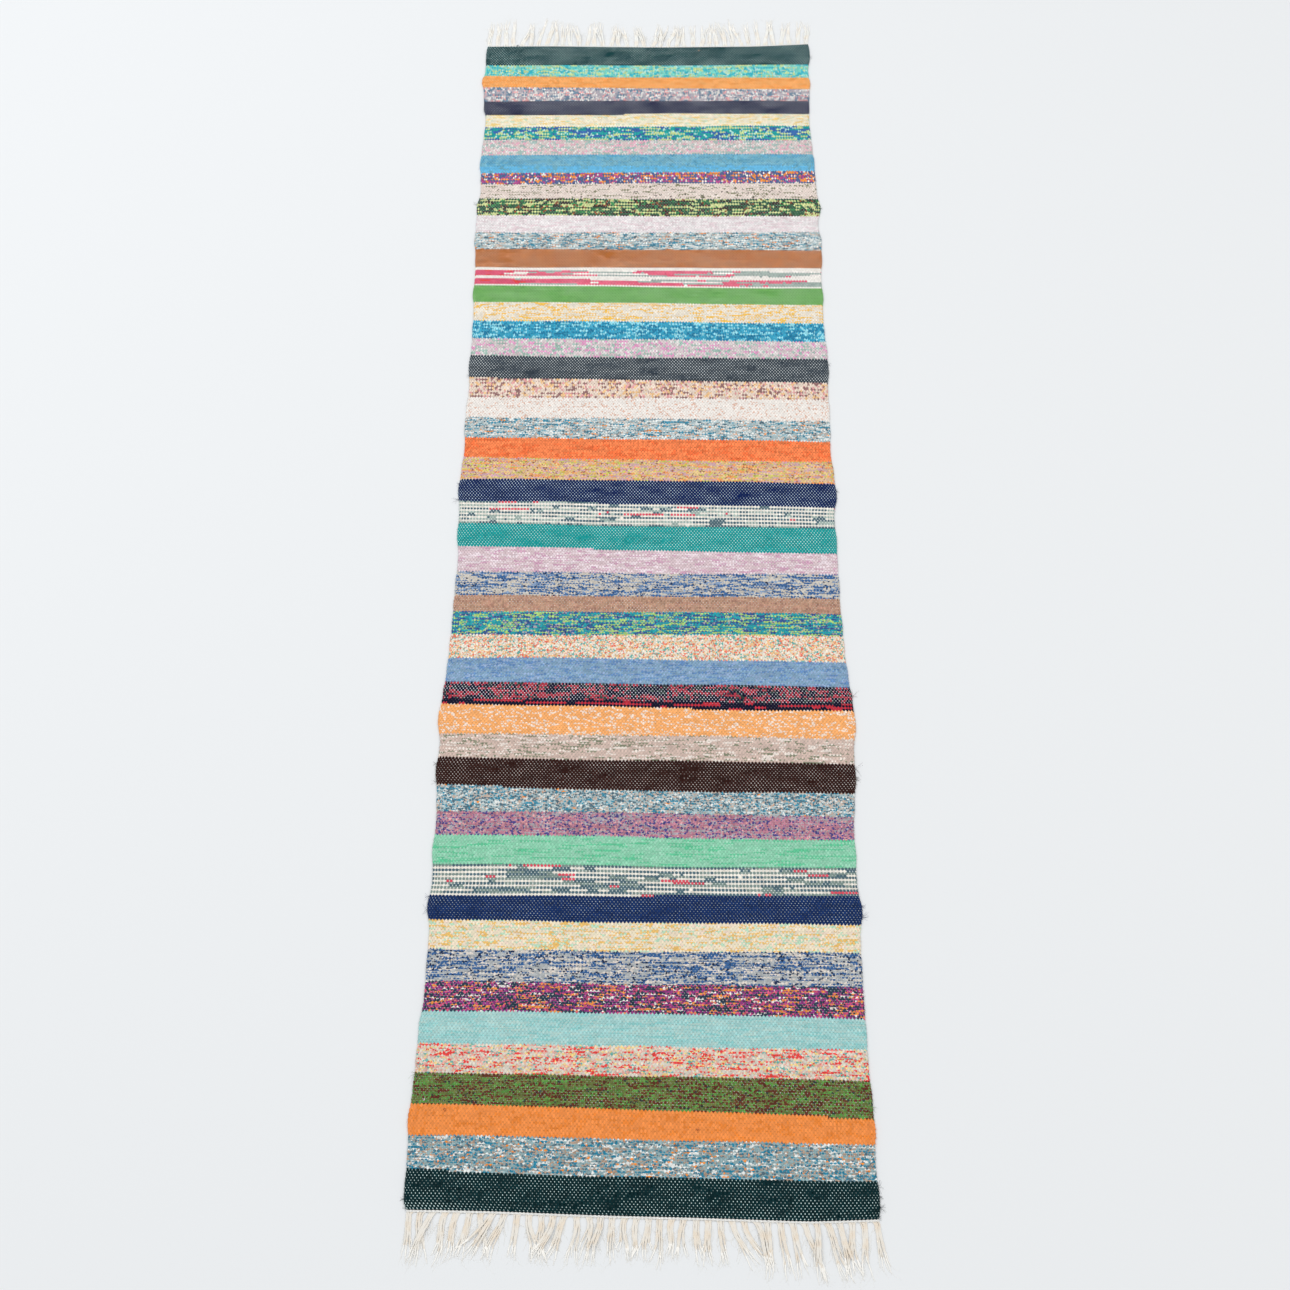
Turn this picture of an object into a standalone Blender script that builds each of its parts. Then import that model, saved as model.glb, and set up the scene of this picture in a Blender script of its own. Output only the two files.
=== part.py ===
"""A hand-woven striped rag rug lying flat, with a cotton heading and a knotless fringe at each end.

The rug lies along Y: its near end is at -Y and its far end at +Y. X runs across it and Z is up,
with the underside of everything on Z = 0. The middle of the rug's box is the origin.

Three solids: the woven cloth, and for each end one heading strip that carries its fringe.
"""

import math
import random
from collections import namedtuple

import bmesh
import bpy

MM = 0.001

# ---- the cloth ----
CLOTH_THICKNESS = 4.0 * MM
SELVEDGE_ROUND = 1.3 * MM      # how far the turned weft rounds the selvedge off, top and bottom
SELVEDGE_TURN = (0.32, 0.68)   # heights of the selvedge's upright middle, as shares of the thickness
PINCH = 0.6 * MM               # how far the selvedge draws in where one stripe's weft ends
PINCH_SWELL = 1.4              # how much of that it swells out again in the middle of a stripe
WIDTH_CHANGE = 1.5             # how fast one stripe's width passes into the next one's
STEPS_PER_BAND = 3             # rows of points along each stripe's selvedge
END_STEPS = 14                 # points across each end of the cloth

# One row for each stripe of weft, from the far end to the near end.
# depth: its size along the rug. slant: how much nearer its near line lies at the right than at
# the left. left, right: from the middle of the rug to each selvedge. All in millimetres.
Band = namedtuple("Band", "yarn depth slant left right")
BANDS = [
    Band("bottle green", 61, -1, 360, 362),
    Band("turquoise and lime", 39, 4, 359, 356),
    Band("light orange", 36, 2, 365, 359),
    Band("lilac tweed", 41, -5, 359, 356),
    Band("plum navy", 41, -3, 357, 354),
    Band("cream yellow", 40, -6, 351, 352),
    Band("teal and lime", 42, -5, 352, 353),
    Band("pale pink and mint", 45, -6, 354, 355),
    Band("sky blue", 51, -6, 357, 358),
    Band("purple tweed", 37, -5, 353, 358),
    Band("olive speckle", 46, -3, 351, 359),
    Band("dark green melange", 50, 0, 357, 365),
    Band("palest pink", 48, -2, 356, 358),
    Band("grey blue tweed", 50, 0, 357, 363),
    Band("rust brown", 51, 3, 353, 362),
    Band("white with crimson", 54, 6, 351, 358),
    Band("grass green", 45, 4, 353, 360),
    Band("cream with yolk", 51, 5, 349, 357),
    Band("strong blue", 48, 6, 349, 358),
    Band("pink and mint grey", 47, 8, 348, 361),
    Band("charcoal", 56, 8, 351, 362),
    Band("maroon tweed", 50, 6, 347, 358),
    Band("palest cream", 53, 8, 350, 359),
    Band("light blue tweed", 51, 9, 351, 358),
    Band("coral orange", 50, 10, 348, 356),
    Band("ochre and salmon", 52, 9, 351, 360),
    Band("navy", 53, 10, 355, 363),
    Band("white with red", 54, 10, 350, 356),
    Band("teal green", 54, 9, 351, 358),
    Band("lilac pink", 55, 6, 346, 357),
    Band("denim", 53, 6, 348, 358),
    Band("taupe", 35, 4, 349, 357),
    Band("teal and navy", 50, 2, 349, 359),
    Band("coral and teal tweed", 53, 7, 351, 360),
    Band("cornflower", 53, 10, 353, 364),
    Band("maroon and navy", 47, 9, 357, 369),
    Band("apricot", 60, 8, 362, 372),
    Band("beige streaks", 50, 12, 356, 366),
    Band("dark brown", 55, 12, 360, 367),
    Band("blue grey tweed", 50, 10, 355, 362),
    Band("mauve", 46, 9, 353, 358),
    Band("mint", 55, 4, 356, 359),
    Band("grey green streaks", 53, 3, 353, 358),
    Band("deep navy", 51, 7, 358, 364),
    Band("cream with mint", 52, 7, 352, 358),
    Band("denim and cream", 59, 8, 353, 358),
    Band("magenta tweed", 52, 10, 353, 358),
    Band("aqua", 55, 8, 358, 359),
    Band("coral and yellow tweed", 51, 11, 359, 359),
    Band("olive and maroon", 55, 17, 361, 362),
    Band("bright orange", 48, 13, 365, 364),
    Band("teal tweed", 55, 14, 362, 361),
    Band("black green", 64, 15, 363, 364),
]
FAR_SLANT = -2.0 * MM          # of the line at the very start of the first stripe
FAR_CORNER_LIFT = 9.0 * MM     # how far the far right corner is pulled out along the rug
FAR_CORNER_START = 0.8         # share of the width where that begins
FAR_RIPPLE = 1.5 * MM
FAR_RIPPLE_TURN = 9.0          # radians of the ripple over the whole width
NEAR_SAG = 3.0 * MM            # how far the near end bows out right of the middle
NEAR_SAG_PLACE = 0.76          # share of the width where it is lowest
NEAR_SAG_SPREAD = 0.2
NEAR_RIPPLE = 1.0 * MM
NEAR_RIPPLE_TURN = 11.0
FAR_CORNERS_IN = (3.0 * MM, 3.0 * MM)      # how far the left and right corners draw in
NEAR_CORNERS_IN = (4.5 * MM, 2.5 * MM)

# ---- the headings and their fringes ----
PART_GAP = 0.3 * MM            # between the cloth's end and the heading that carries on from it
HEADING_DEPTH = 5.0 * MM
HEADING_THICKNESS = 3.0 * MM
EDGE_BUNDLE_INSET = 4.8 * MM   # from a corner of the cloth to the middle of the bundle beside it
LOCKS_PER_BUNDLE = 3
LOCK_ROOT_WIDTH = 2.5 * MM
LOCK_TIP_WIDTH = 1.7 * MM
LOCK_TIP_HEIGHT = 1.6 * MM
LOCK_ROOT_PITCH = 3.3 * MM     # from lock to lock of one bundle, at the heading
LOCK_TIP_PITCH = 4.3 * MM      # the same at the tips, where the bundle frays apart
LOCK_CLEARANCE = 0.45 * MM     # least room between two locks
LOCK_STEPS = 3                 # lengths that one lock is made of
LOCK_TOP_SHARE = 0.7           # width of a lock's top face as a share of its foot
LOCK_BEND = 1.25               # 1 for a straight lock, more for one that bends near its tip
TIP_STRAY = 1.0 * MM
SHORTEST_LOCK = 0.93           # as a share of its bundle's length

# How each bundle of a fringe lies, from the left selvedge to the right one, in millimetres.
# lean: how far its tip has swung to the right. length: from the heading to its tip.
Lie = namedtuple("Lie", "lean length")
NEAR_FRINGE = [Lie(lean, length) for lean, length in (
    (1, 80), (4, 86), (-33, 82), (-10, 88), (-14, 82), (-14, 78), (4, 76), (-46, 74), (-28, 78), (-3, 80),
    (11, 76), (5, 78), (-28, 74), (-22, 77), (-8, 77), (0, 75), (-13, 76), (0, 74), (-2, 71), (-8, 69),
    (-5, 68), (-3, 80), (-4, 71), (-6, 68), (6, 73), (0, 76), (1, 72), (30, 80), (30, 78), (20, 82),
    (0, 91), (15, 93), (17, 91), (28, 96), (6, 98), (25, 94), (15, 95), (3, 96), (0, 93), (12, 92),
)]
FAR_FRINGE = [Lie(lean, length) for lean, length in (
    (-3, 88), (-1, 84), (4, 90), (2, 99), (20, 84), (5, 86), (18, 97), (16, 96), (6, 98), (6, 84),
    (0, 82), (-11, 80), (5, 84), (-3, 88), (-15, 88), (8, 82), (-5, 82), (-18, 80), (3, 74), (-12, 76),
    (15, 80), (3, 80), (20, 80), (5, 80), (-4, 82), (5, 80), (12, 82), (4, 84), (0, 84), (-12, 86),
    (-10, 94), (-17, 90), (-8, 88), (-7, 96), (5, 102), (-10, 92), (5, 82), (2, 84), (3, 84), (3, 82),
)]
NEAR_SEED = 11
FAR_SEED = 23

COLOURS = {
    "woven_cloth": ((0.30, 0.33, 0.33, 1.0), 0.92),
    "cotton_fringe": ((0.84, 0.77, 0.67, 1.0), 0.88),
}


def material(name):
    """A plain fabric finish in the part's main colour."""
    colour, roughness = COLOURS[name]
    finish = bpy.data.materials.new(name)
    finish.use_nodes = True
    shader = finish.node_tree.nodes["Principled BSDF"]
    shader.inputs["Base Color"].default_value = colour
    shader.inputs["Roughness"].default_value = roughness
    shader.inputs["Metallic"].default_value = 0.0
    return finish


def add_node(name, mesh_builder, finish):
    """Turns a finished bmesh into one named object with its own material."""
    mesh = bpy.data.meshes.new(name)
    mesh_builder.normal_update()
    mesh_builder.to_mesh(mesh)
    mesh_builder.free()
    mesh.materials.append(finish)
    node = bpy.data.objects.new(name, mesh)
    bpy.context.scene.collection.objects.link(node)
    return node


def hump(share):
    """0 at both ends of a span and 1 at its middle."""
    return math.sin(math.pi * share)


def rug_rows():
    """Every row of the selvedges as (y at the left, y at the right, left edge, right edge)."""
    rug_length = sum(band.depth for band in BANDS) * MM
    y = rug_length / 2
    slant = FAR_SLANT
    rows = []
    for index, band in enumerate(BANDS):
        before = BANDS[max(index - 1, 0)]
        for step in range(STEPS_PER_BAND):
            share = step / STEPS_PER_BAND
            row_y = y - share * band.depth * MM
            row_slant = slant + (band.slant * MM - slant) * share
            mix = min(1.0, 0.5 + share * WIDTH_CHANGE)
            draw_in = PINCH * (1.0 - PINCH_SWELL * hump(share))
            left = (before.left * (1 - mix) + band.left * mix) * MM - draw_in
            right = (before.right * (1 - mix) + band.right * mix) * MM - draw_in
            rows.append((row_y + row_slant / 2, row_y - row_slant / 2, left, right))
        y -= band.depth * MM
        slant = band.slant * MM
    rows.append((y + slant / 2, y - slant / 2, BANDS[-1].left * MM, BANDS[-1].right * MM))
    for index, corners_in in ((0, FAR_CORNERS_IN), (-1, NEAR_CORNERS_IN)):
        y_left, y_right, left, right = rows[index]
        rows[index] = (y_left, y_right, left - corners_in[0], right - corners_in[1])
    return rows


def end_line(row, bow):
    """The points of one end of the cloth from left to right, bowed outwards by bow(share)."""
    y_left, y_right, left, right = row
    line = []
    for step in range(END_STEPS + 1):
        share = step / END_STEPS
        line.append((-left + share * (left + right), y_left + share * (y_right - y_left) + bow(share)))
    return line


def far_bow(share):
    """The far end is nearly straight, and its right corner is pulled out."""
    lift = max(0.0, (share - FAR_CORNER_START) / (1 - FAR_CORNER_START)) ** 1.5
    return FAR_CORNER_LIFT * lift + FAR_RIPPLE * math.sin(FAR_RIPPLE_TURN * share)


def near_bow(share):
    """The near end sags most at three quarters of the way to the right."""
    sag = math.exp(-((share - NEAR_SAG_PLACE) / NEAR_SAG_SPREAD) ** 2)
    return -NEAR_SAG * sag + NEAR_RIPPLE * math.sin(NEAR_RIPPLE_TURN * share)


def make_cloth(rows, far_line, near_line, finish):
    """The whole woven cloth: a flat slab with rounded, scalloped selvedges and wavy ends."""
    profile = [  # (how far in from the selvedge, height), from the underside to the top
        (SELVEDGE_ROUND, 0.0),
        (0.0, SELVEDGE_TURN[0] * CLOTH_THICKNESS),
        (0.0, SELVEDGE_TURN[1] * CLOTH_THICKNESS),
        (SELVEDGE_ROUND, CLOTH_THICKNESS),
    ]
    build = bmesh.new()
    inner = rows[1:-1]
    left_rings = [[build.verts.new((-left + inset, y, z)) for inset, z in profile]
                  for y, _, left, _ in inner]
    right_rings = [[build.verts.new((right - inset, y, z)) for inset, z in profile]
                   for _, y, _, right in inner]

    def end_ring(line):
        """The end's points: a profile at each corner, and foot and top points between them."""
        (x_first, y_first), (x_last, y_last) = line[0], line[-1]
        first = [build.verts.new((x_first + inset, y_first, z)) for inset, z in profile]
        last = [build.verts.new((x_last - inset, y_last, z)) for inset, z in profile]
        foot = [build.verts.new((x, y_at, 0.0)) for x, y_at in line[1:-1]]
        top = [build.verts.new((x, y_at, CLOTH_THICKNESS)) for x, y_at in line[1:-1]]
        return first, foot, top, last

    far_first, far_foot, far_top, far_last = end_ring(far_line)
    near_first, near_foot, near_top, near_last = end_ring(near_line)
    left_all = [far_first] + left_rings + [near_first]
    right_all = [far_last] + right_rings + [near_last]
    for upper, lower in zip(left_all, left_all[1:]):
        for k in range(len(profile) - 1):
            build.faces.new((upper[k], upper[k + 1], lower[k + 1], lower[k]))
    for upper, lower in zip(right_all, right_all[1:]):
        for k in range(len(profile) - 1):
            build.faces.new((upper[k], lower[k], lower[k + 1], upper[k + 1]))
    for index in range(1, len(left_all) - 2):
        l_up, l_low, r_up, r_low = (left_all[index], left_all[index + 1],
                                    right_all[index], right_all[index + 1])
        build.faces.new((l_up[-1], r_up[-1], r_low[-1], l_low[-1]))
        build.faces.new((l_up[0], l_low[0], r_low[0], r_up[0]))
    # the two end strips, whose outer line has many points, and the upright ends themselves
    build.faces.new([far_first[-1]] + far_top + [far_last[-1], right_all[1][-1], left_all[1][-1]])
    build.faces.new([far_first[0], left_all[1][0], right_all[1][0], far_last[0]] + far_foot[::-1])
    build.faces.new([near_first[-1], left_all[-2][-1], right_all[-2][-1], near_last[-1]]
                    + near_top[::-1])
    build.faces.new([near_first[0]] + near_foot + [near_last[0], right_all[-2][0], left_all[-2][0]])
    for first, foot, top, last in ((far_first, far_foot, far_top, far_last),
                                   (near_first, near_foot, near_top, near_last)):
        build.faces.new(first + [top[0], foot[0]])
        build.faces.new(last + [top[-1], foot[-1]])
        for k in range(len(foot) - 1):
            build.faces.new((foot[k], foot[k + 1], top[k + 1], top[k]))
    bmesh.ops.recalc_face_normals(build, faces=build.faces)
    return add_node("woven_cloth", build, finish)


def height_on(line, x):
    """The y of a left-to-right line of points at x."""
    for (x0, y0), (x1, y1) in zip(line, line[1:]):
        if x <= x1:
            return y0 + (y1 - y0) * (x - x0) / (x1 - x0)
    return line[-1][1]


def spread_apart(places, least):
    """Moves neighbours in a row apart, half each, until none is closer than least."""
    for _ in range(400):
        moved = False
        for k in range(len(places) - 1):
            short = least - (places[k + 1] - places[k])
            if short > 1e-7:
                places[k] -= short / 2
                places[k + 1] += short / 2
                moved = True
        if not moved:
            break
    return places


def lock_plan(table, left, right, seed):
    """For each lock: its x at every ring from root to tip, and its length."""
    stray = random.Random(seed)
    bundle_pitch = (left + right - 2 * EDGE_BUNDLE_INSET) / (len(table) - 1)
    roots, swings, lengths = [], [], []
    for bundle, lie in enumerate(table):
        bundle_x = -left + EDGE_BUNDLE_INSET + bundle_pitch * bundle
        for lock in range(LOCKS_PER_BUNDLE):
            place = lock - (LOCKS_PER_BUNDLE - 1) / 2
            roots.append(bundle_x + place * LOCK_ROOT_PITCH)
            fray = place * (LOCK_TIP_PITCH - LOCK_ROOT_PITCH) + stray.uniform(-1, 1) * TIP_STRAY
            swings.append(lie.lean * MM + fray)
            lengths.append(lie.length * MM * stray.uniform(SHORTEST_LOCK, 1.0))
    rings = []
    for step in range(LOCK_STEPS + 1):
        share = step / LOCK_STEPS
        width = LOCK_ROOT_WIDTH + (LOCK_TIP_WIDTH - LOCK_ROOT_WIDTH) * share
        row = [root + swing * share ** LOCK_BEND for root, swing in zip(roots, swings)]
        rings.append(spread_apart(row, width + LOCK_CLEARANCE) if step else row)
    return rings, lengths


def make_fringe(name, cloth_line, outward, table, seed, finish):
    """One heading strip beside the cloth's end, with its locks grown out of the outer face."""
    left, right = -cloth_line[0][0], cloth_line[-1][0]
    rings, lengths = lock_plan(table, left, right, seed)
    build = bmesh.new()

    def strip_post(x):
        """The strip's section at x: inner foot, inner top, outer top, outer foot."""
        y_in = height_on(cloth_line, x) + outward * PART_GAP
        y_out = y_in + outward * HEADING_DEPTH
        return [build.verts.new(place) for place in ((x, y_in, 0.0), (x, y_in, HEADING_THICKNESS),
                                                     (x, y_out, HEADING_THICKNESS), (x, y_out, 0.0))]

    def strip_span(a, b, closed):
        """The strip between two sections, with its outer face left open at a lock's root."""
        for k in range(3 if closed else 2):
            build.faces.new((a[k], a[k + 1], b[k + 1], b[k]))
        build.faces.new((a[3], a[0], b[0], b[3]))

    def lock(a, b, index):
        """A lock grown from the strip's open outer face, laid level on the floor."""
        root_y = (a[3].co.y + b[3].co.y) / 2
        before = [a[3], a[2], b[2], b[3]]
        for step in range(1, LOCK_STEPS + 1):
            share = step / LOCK_STEPS
            x = rings[step][index]
            y = root_y + outward * lengths[index] * share
            width = LOCK_ROOT_WIDTH + (LOCK_TIP_WIDTH - LOCK_ROOT_WIDTH) * share
            top = width * LOCK_TOP_SHARE
            rise = HEADING_THICKNESS + (LOCK_TIP_HEIGHT - HEADING_THICKNESS) * share ** 0.5
            ring = [build.verts.new(place) for place in ((x - width / 2, y, 0.0), (x - top / 2, y, rise),
                                                         (x + top / 2, y, rise), (x + width / 2, y, 0.0))]
            for k in range(4):
                build.faces.new((before[k], before[(k + 1) % 4], ring[(k + 1) % 4], ring[k]))
            before = ring
        build.faces.new(before)

    first = post = strip_post(-left)
    for index, root in enumerate(rings[0]):
        start = strip_post(root - LOCK_ROOT_WIDTH / 2)
        strip_span(post, start, True)
        post = strip_post(root + LOCK_ROOT_WIDTH / 2)
        strip_span(start, post, False)
        lock(start, post, index)
    last = strip_post(right)
    strip_span(post, last, True)
    build.faces.new(first)
    build.faces.new(last)
    bmesh.ops.recalc_face_normals(build, faces=build.faces)
    return add_node(name, build, finish)


def centre_on_origin(nodes):
    """Slides all the meshes level, so that the middle of their common box is the origin."""
    points = [vertex.co for node in nodes for vertex in node.data.vertices]
    shift_x = -(min(p.x for p in points) + max(p.x for p in points)) / 2
    shift_y = -(min(p.y for p in points) + max(p.y for p in points)) / 2
    for node in nodes:
        for vertex in node.data.vertices:
            vertex.co.x += shift_x
            vertex.co.y += shift_y


def main():
    for old in list(bpy.data.objects):
        bpy.data.objects.remove(old, do_unlink=True)
    rows = rug_rows()
    far_line = end_line(rows[0], far_bow)
    near_line = end_line(rows[-1], near_bow)
    cotton = material("cotton_fringe")
    centre_on_origin([
        make_cloth(rows, far_line, near_line, material("woven_cloth")),
        make_fringe("near_fringe", near_line, -1, NEAR_FRINGE, NEAR_SEED, cotton),
        make_fringe("far_fringe", far_line, 1, FAR_FRINGE, FAR_SEED, cotton),
    ])


main()
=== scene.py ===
"""The looks of a hand-woven striped rag rug: every pick and warp crossing of the web, its coloured
rags, the white cotton headings and the loose warp ends of both fringes.

The rug lies along Y with its far end at +Y. Weave coordinates are used all through: an end is one
warp thread, counted from the left selvedge, and a pick is one pass of weft, counted from the far
end. Their numbers are kept in the UV map "weave", which the yarn materials read.
"""
import math
from collections import namedtuple
from statistics import NormalDist

import bpy
import numpy as np
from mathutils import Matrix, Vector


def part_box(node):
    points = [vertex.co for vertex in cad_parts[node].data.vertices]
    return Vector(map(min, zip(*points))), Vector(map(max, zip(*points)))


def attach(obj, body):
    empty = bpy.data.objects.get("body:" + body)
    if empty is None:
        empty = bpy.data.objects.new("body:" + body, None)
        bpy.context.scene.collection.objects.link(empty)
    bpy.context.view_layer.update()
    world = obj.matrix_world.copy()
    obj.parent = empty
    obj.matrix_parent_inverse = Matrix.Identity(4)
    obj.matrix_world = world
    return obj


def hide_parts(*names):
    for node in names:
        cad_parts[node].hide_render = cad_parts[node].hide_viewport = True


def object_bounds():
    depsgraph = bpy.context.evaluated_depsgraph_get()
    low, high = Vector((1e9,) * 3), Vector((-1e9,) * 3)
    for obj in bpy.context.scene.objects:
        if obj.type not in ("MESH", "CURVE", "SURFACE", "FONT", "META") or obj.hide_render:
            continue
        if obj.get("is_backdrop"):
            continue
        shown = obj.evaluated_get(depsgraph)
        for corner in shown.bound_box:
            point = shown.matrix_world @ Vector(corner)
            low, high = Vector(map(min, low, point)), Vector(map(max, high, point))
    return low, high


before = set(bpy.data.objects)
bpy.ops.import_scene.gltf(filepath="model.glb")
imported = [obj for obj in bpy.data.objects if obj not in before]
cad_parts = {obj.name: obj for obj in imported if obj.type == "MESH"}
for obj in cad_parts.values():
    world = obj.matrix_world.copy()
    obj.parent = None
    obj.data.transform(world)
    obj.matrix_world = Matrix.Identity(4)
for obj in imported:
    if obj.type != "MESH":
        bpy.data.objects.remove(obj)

CAD_BOX = [list(corner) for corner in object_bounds()]
MM = 0.001

# ---- the web ----
ENDS = 240                     # warp ends across the rug, six to each bundle of the fringe
PICK_PITCH = 4.05 * MM         # what one pick of rag fills along the rug, on average
HEADING_PICKS = 3              # thin white picks that lock the weft at each end
HEADING_PITCH = 1.15 * MM
BANDS_PER_LENGTH = 7           # stripes in one piece of the web
FLOAT_HEIGHT = 4.20 * MM       # top of a pick where it passes over an end
DIP_HEIGHT = 2.7 * MM          # top of the web where the end passes over the pick
SIDE_HEIGHT = 3.2 * MM         # between one pick and the next
ROUGHNESS = 0.12               # mm, how far the surface strays from those heights
HEADING_DROP = 1.1 * MM        # how much thinner the heading is
LOOSE_SWELL = 0.20             # how far a pick bulges over its neighbours, in picks, where the
TIGHT_SWELL = 0.42             # warp shows and where it hardly does
LOOSE_WARP = 0.65              # how much warp a rag shows where its picks are as loose as they get
BEAT = 0.07                    # how unevenly the picks are beaten in, in picks
SWAYS = ((0.8, 1.0 * MM), (1.7, 0.6 * MM), (3.3, 0.35 * MM))  # waves of a stripe's line: number, size
END_WANDER = 0.3 * MM          # how far a warp end wanders to either side,
WANDER_PICKS = 23              # and how slowly, in picks for each radian of it
CROWDED_ENDS = 4               # ends at each selvedge that lie closer together,
CROWDING = 0.8                 # and how much closer
SELVEDGE_INSET = 1.5 * MM      # from the turned weft to the outermost end
FOOT_INSET = 1.3 * MM          # from the turned weft to where the cloth lies on the floor
UNDERSIDE_ENDS = 20            # from one point of the plain underside to the next
TURN_HEIGHT = 2.0 * MM         # of the weft where it turns at a selvedge
TURN_BULGE = 0.54 * MM         # how far it stands out in a turn,
TURN_HOLLOW = 0.12 * MM        # and how far it draws in between two turns
PINCH = 0.6 * MM               # how far the selvedge draws in where one stripe's weft ends
PINCH_SWELL = 1.4              # how much of that it swells out again in the middle of a stripe
WIDTH_CHANGE = 1.5             # how fast one stripe's width passes into the next one's

# One row for each stripe of weft, from the far end to the near end.
# depth: its size along the rug. slant: how much nearer its near line lies at the right than at
# the left. left, right: from the middle of the rug to each selvedge. All in millimetres.
Band = namedtuple("Band", "yarn depth slant left right")
BANDS = [
    Band("bottle green", 61, -1, 360, 362),
    Band("turquoise and lime", 39, 4, 359, 356),
    Band("light orange", 36, 2, 365, 359),
    Band("lilac tweed", 41, -5, 359, 356),
    Band("plum navy", 41, -3, 357, 354),
    Band("cream yellow", 40, -6, 351, 352),
    Band("teal and lime", 42, -5, 352, 353),
    Band("pale pink and mint", 45, -6, 354, 355),
    Band("sky blue", 51, -6, 357, 358),
    Band("purple tweed", 37, -5, 353, 358),
    Band("olive speckle", 46, -3, 351, 359),
    Band("dark green melange", 50, 0, 357, 365),
    Band("palest pink", 48, -2, 356, 358),
    Band("grey blue tweed", 50, 0, 357, 363),
    Band("rust brown", 51, 3, 353, 362),
    Band("white with crimson", 54, 6, 351, 358),
    Band("grass green", 45, 4, 353, 360),
    Band("cream with yolk", 51, 5, 349, 357),
    Band("strong blue", 48, 6, 349, 358),
    Band("pink and mint grey", 47, 8, 348, 361),
    Band("charcoal", 56, 8, 351, 362),
    Band("maroon tweed", 50, 6, 347, 358),
    Band("palest cream", 53, 8, 350, 359),
    Band("grey blue tweed", 51, 9, 351, 358),
    Band("coral orange", 50, 10, 348, 356),
    Band("ochre and salmon", 52, 9, 351, 360),
    Band("navy", 53, 10, 355, 363),
    Band("white with red", 54, 10, 350, 356),
    Band("teal green", 54, 9, 351, 358),
    Band("lilac pink", 55, 6, 346, 357),
    Band("denim", 53, 6, 348, 358),
    Band("taupe", 35, 4, 349, 357),
    Band("teal and navy", 50, 2, 349, 359),
    Band("coral and teal tweed", 53, 7, 351, 360),
    Band("cornflower", 53, 10, 353, 364),
    Band("maroon and navy", 47, 9, 357, 369),
    Band("apricot", 60, 8, 362, 372),
    Band("beige streaks", 50, 12, 356, 366),
    Band("dark brown", 55, 12, 360, 367),
    Band("blue grey tweed", 50, 10, 355, 362),
    Band("mauve", 46, 9, 353, 358),
    Band("mint", 55, 4, 356, 359),
    Band("grey green streaks", 53, 3, 353, 358),
    Band("deep navy", 51, 7, 358, 364),
    Band("cream with mint", 52, 7, 352, 358),
    Band("denim and cream", 59, 8, 353, 358),
    Band("magenta tweed", 52, 10, 353, 358),
    Band("aqua", 55, 8, 358, 359),
    Band("coral and yellow tweed", 51, 11, 359, 359),
    Band("olive and maroon", 55, 17, 361, 362),
    Band("bright orange", 48, 13, 365, 364),
    Band("teal tweed", 55, 14, 362, 361),
    Band("black green", 64, 15, 363, 364),
]
FAR_SLANT = -2.0 * MM          # of the line at the very start of the first stripe
FAR_CORNER_LIFT = 9.0 * MM     # how far the far right corner is pulled out along the rug
FAR_CORNER_START = 0.8         # share of the width where that begins
FAR_RIPPLE = 1.5 * MM
FAR_RIPPLE_TURN = 9.0          # radians of the ripple over the whole width
NEAR_SAG = 3.0 * MM            # how far the near end bows out right of the middle
NEAR_SAG_PLACE = 0.76          # share of the width where it is lowest
NEAR_SAG_SPREAD = 0.2
NEAR_RIPPLE = 1.0 * MM
NEAR_RIPPLE_TURN = 11.0
NEAR_CORNER_LIFT = 5.0 * MM    # how far the near right corner is pushed in along the rug
NEAR_CORNER_START = 0.86
FAR_CORNERS_IN = (1.2 * MM, 1.8 * MM)      # how far the left and right corners draw in
NEAR_CORNERS_IN = (4.5 * MM, 2.5 * MM)
CORNER_PICKS = 4               # picks over which they do
BOW_FADE = 14                  # picks over which the bow of an end dies away in the web
LOOSE_PICKS = 4                # picks at the near end that are beaten in less, so the warp shows more
LOOSE_COMES = 1.5              # picks over which that comes in
LOOSE_MOST = 1.25              # how loose the near left corner is: it is 1 less at the right
LOOSE_CORNER = (18.0, 36.0)    # the ends from the left over which it gets so
LOOSE_DOT, LOOSE_SHOW = 0.3, 0.6    # how much larger and plainer the dots of warp get where it is
WEB_SEED, YARN_SEED = 5, 16    # of how the web lies, and of where a plain start of a rag ends

# Stripes woven from more than one rag: (yarn, share of the stripe's picks), far side first.
MIXED_BANDS = {
    "white with crimson": [("plain white", 0.14), ("crimson and grey", 0.31), ("plain white", 0.15),
                           ("crimson and grey", 0.30), ("plain white", 0.10)],
    "sky blue": [("sky blue", 0.72), ("light sky blue", 0.28)],
    "maroon and navy": [("maroon and navy", 0.75), ("navy and red", 0.25)],
}
# Rags that show only their ground as far as this share of the width, more or less.
PLAIN_STARTS = {"crimson and grey": ("crimson", 0.13, 0.07)}
# Where a rag runs out midway: (stripe, share of the width, the side that gets one pick more of it).
JOINS = {
    "plum navy": (0.43, "left"),
    "sky blue": (0.72, "left"),
    "charcoal": (0.08, "right"),
    "navy": (0.37, "right"),
    "teal green": (0.36, "right"),
    "maroon and navy": (0.61, "right"),
    "dark brown": (0.16, "right"),
    "grey green streaks": (0.52, "left"),
    "teal tweed": (0.09, "right"),
    "olive and maroon": (0.90, "right"),
}

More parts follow.
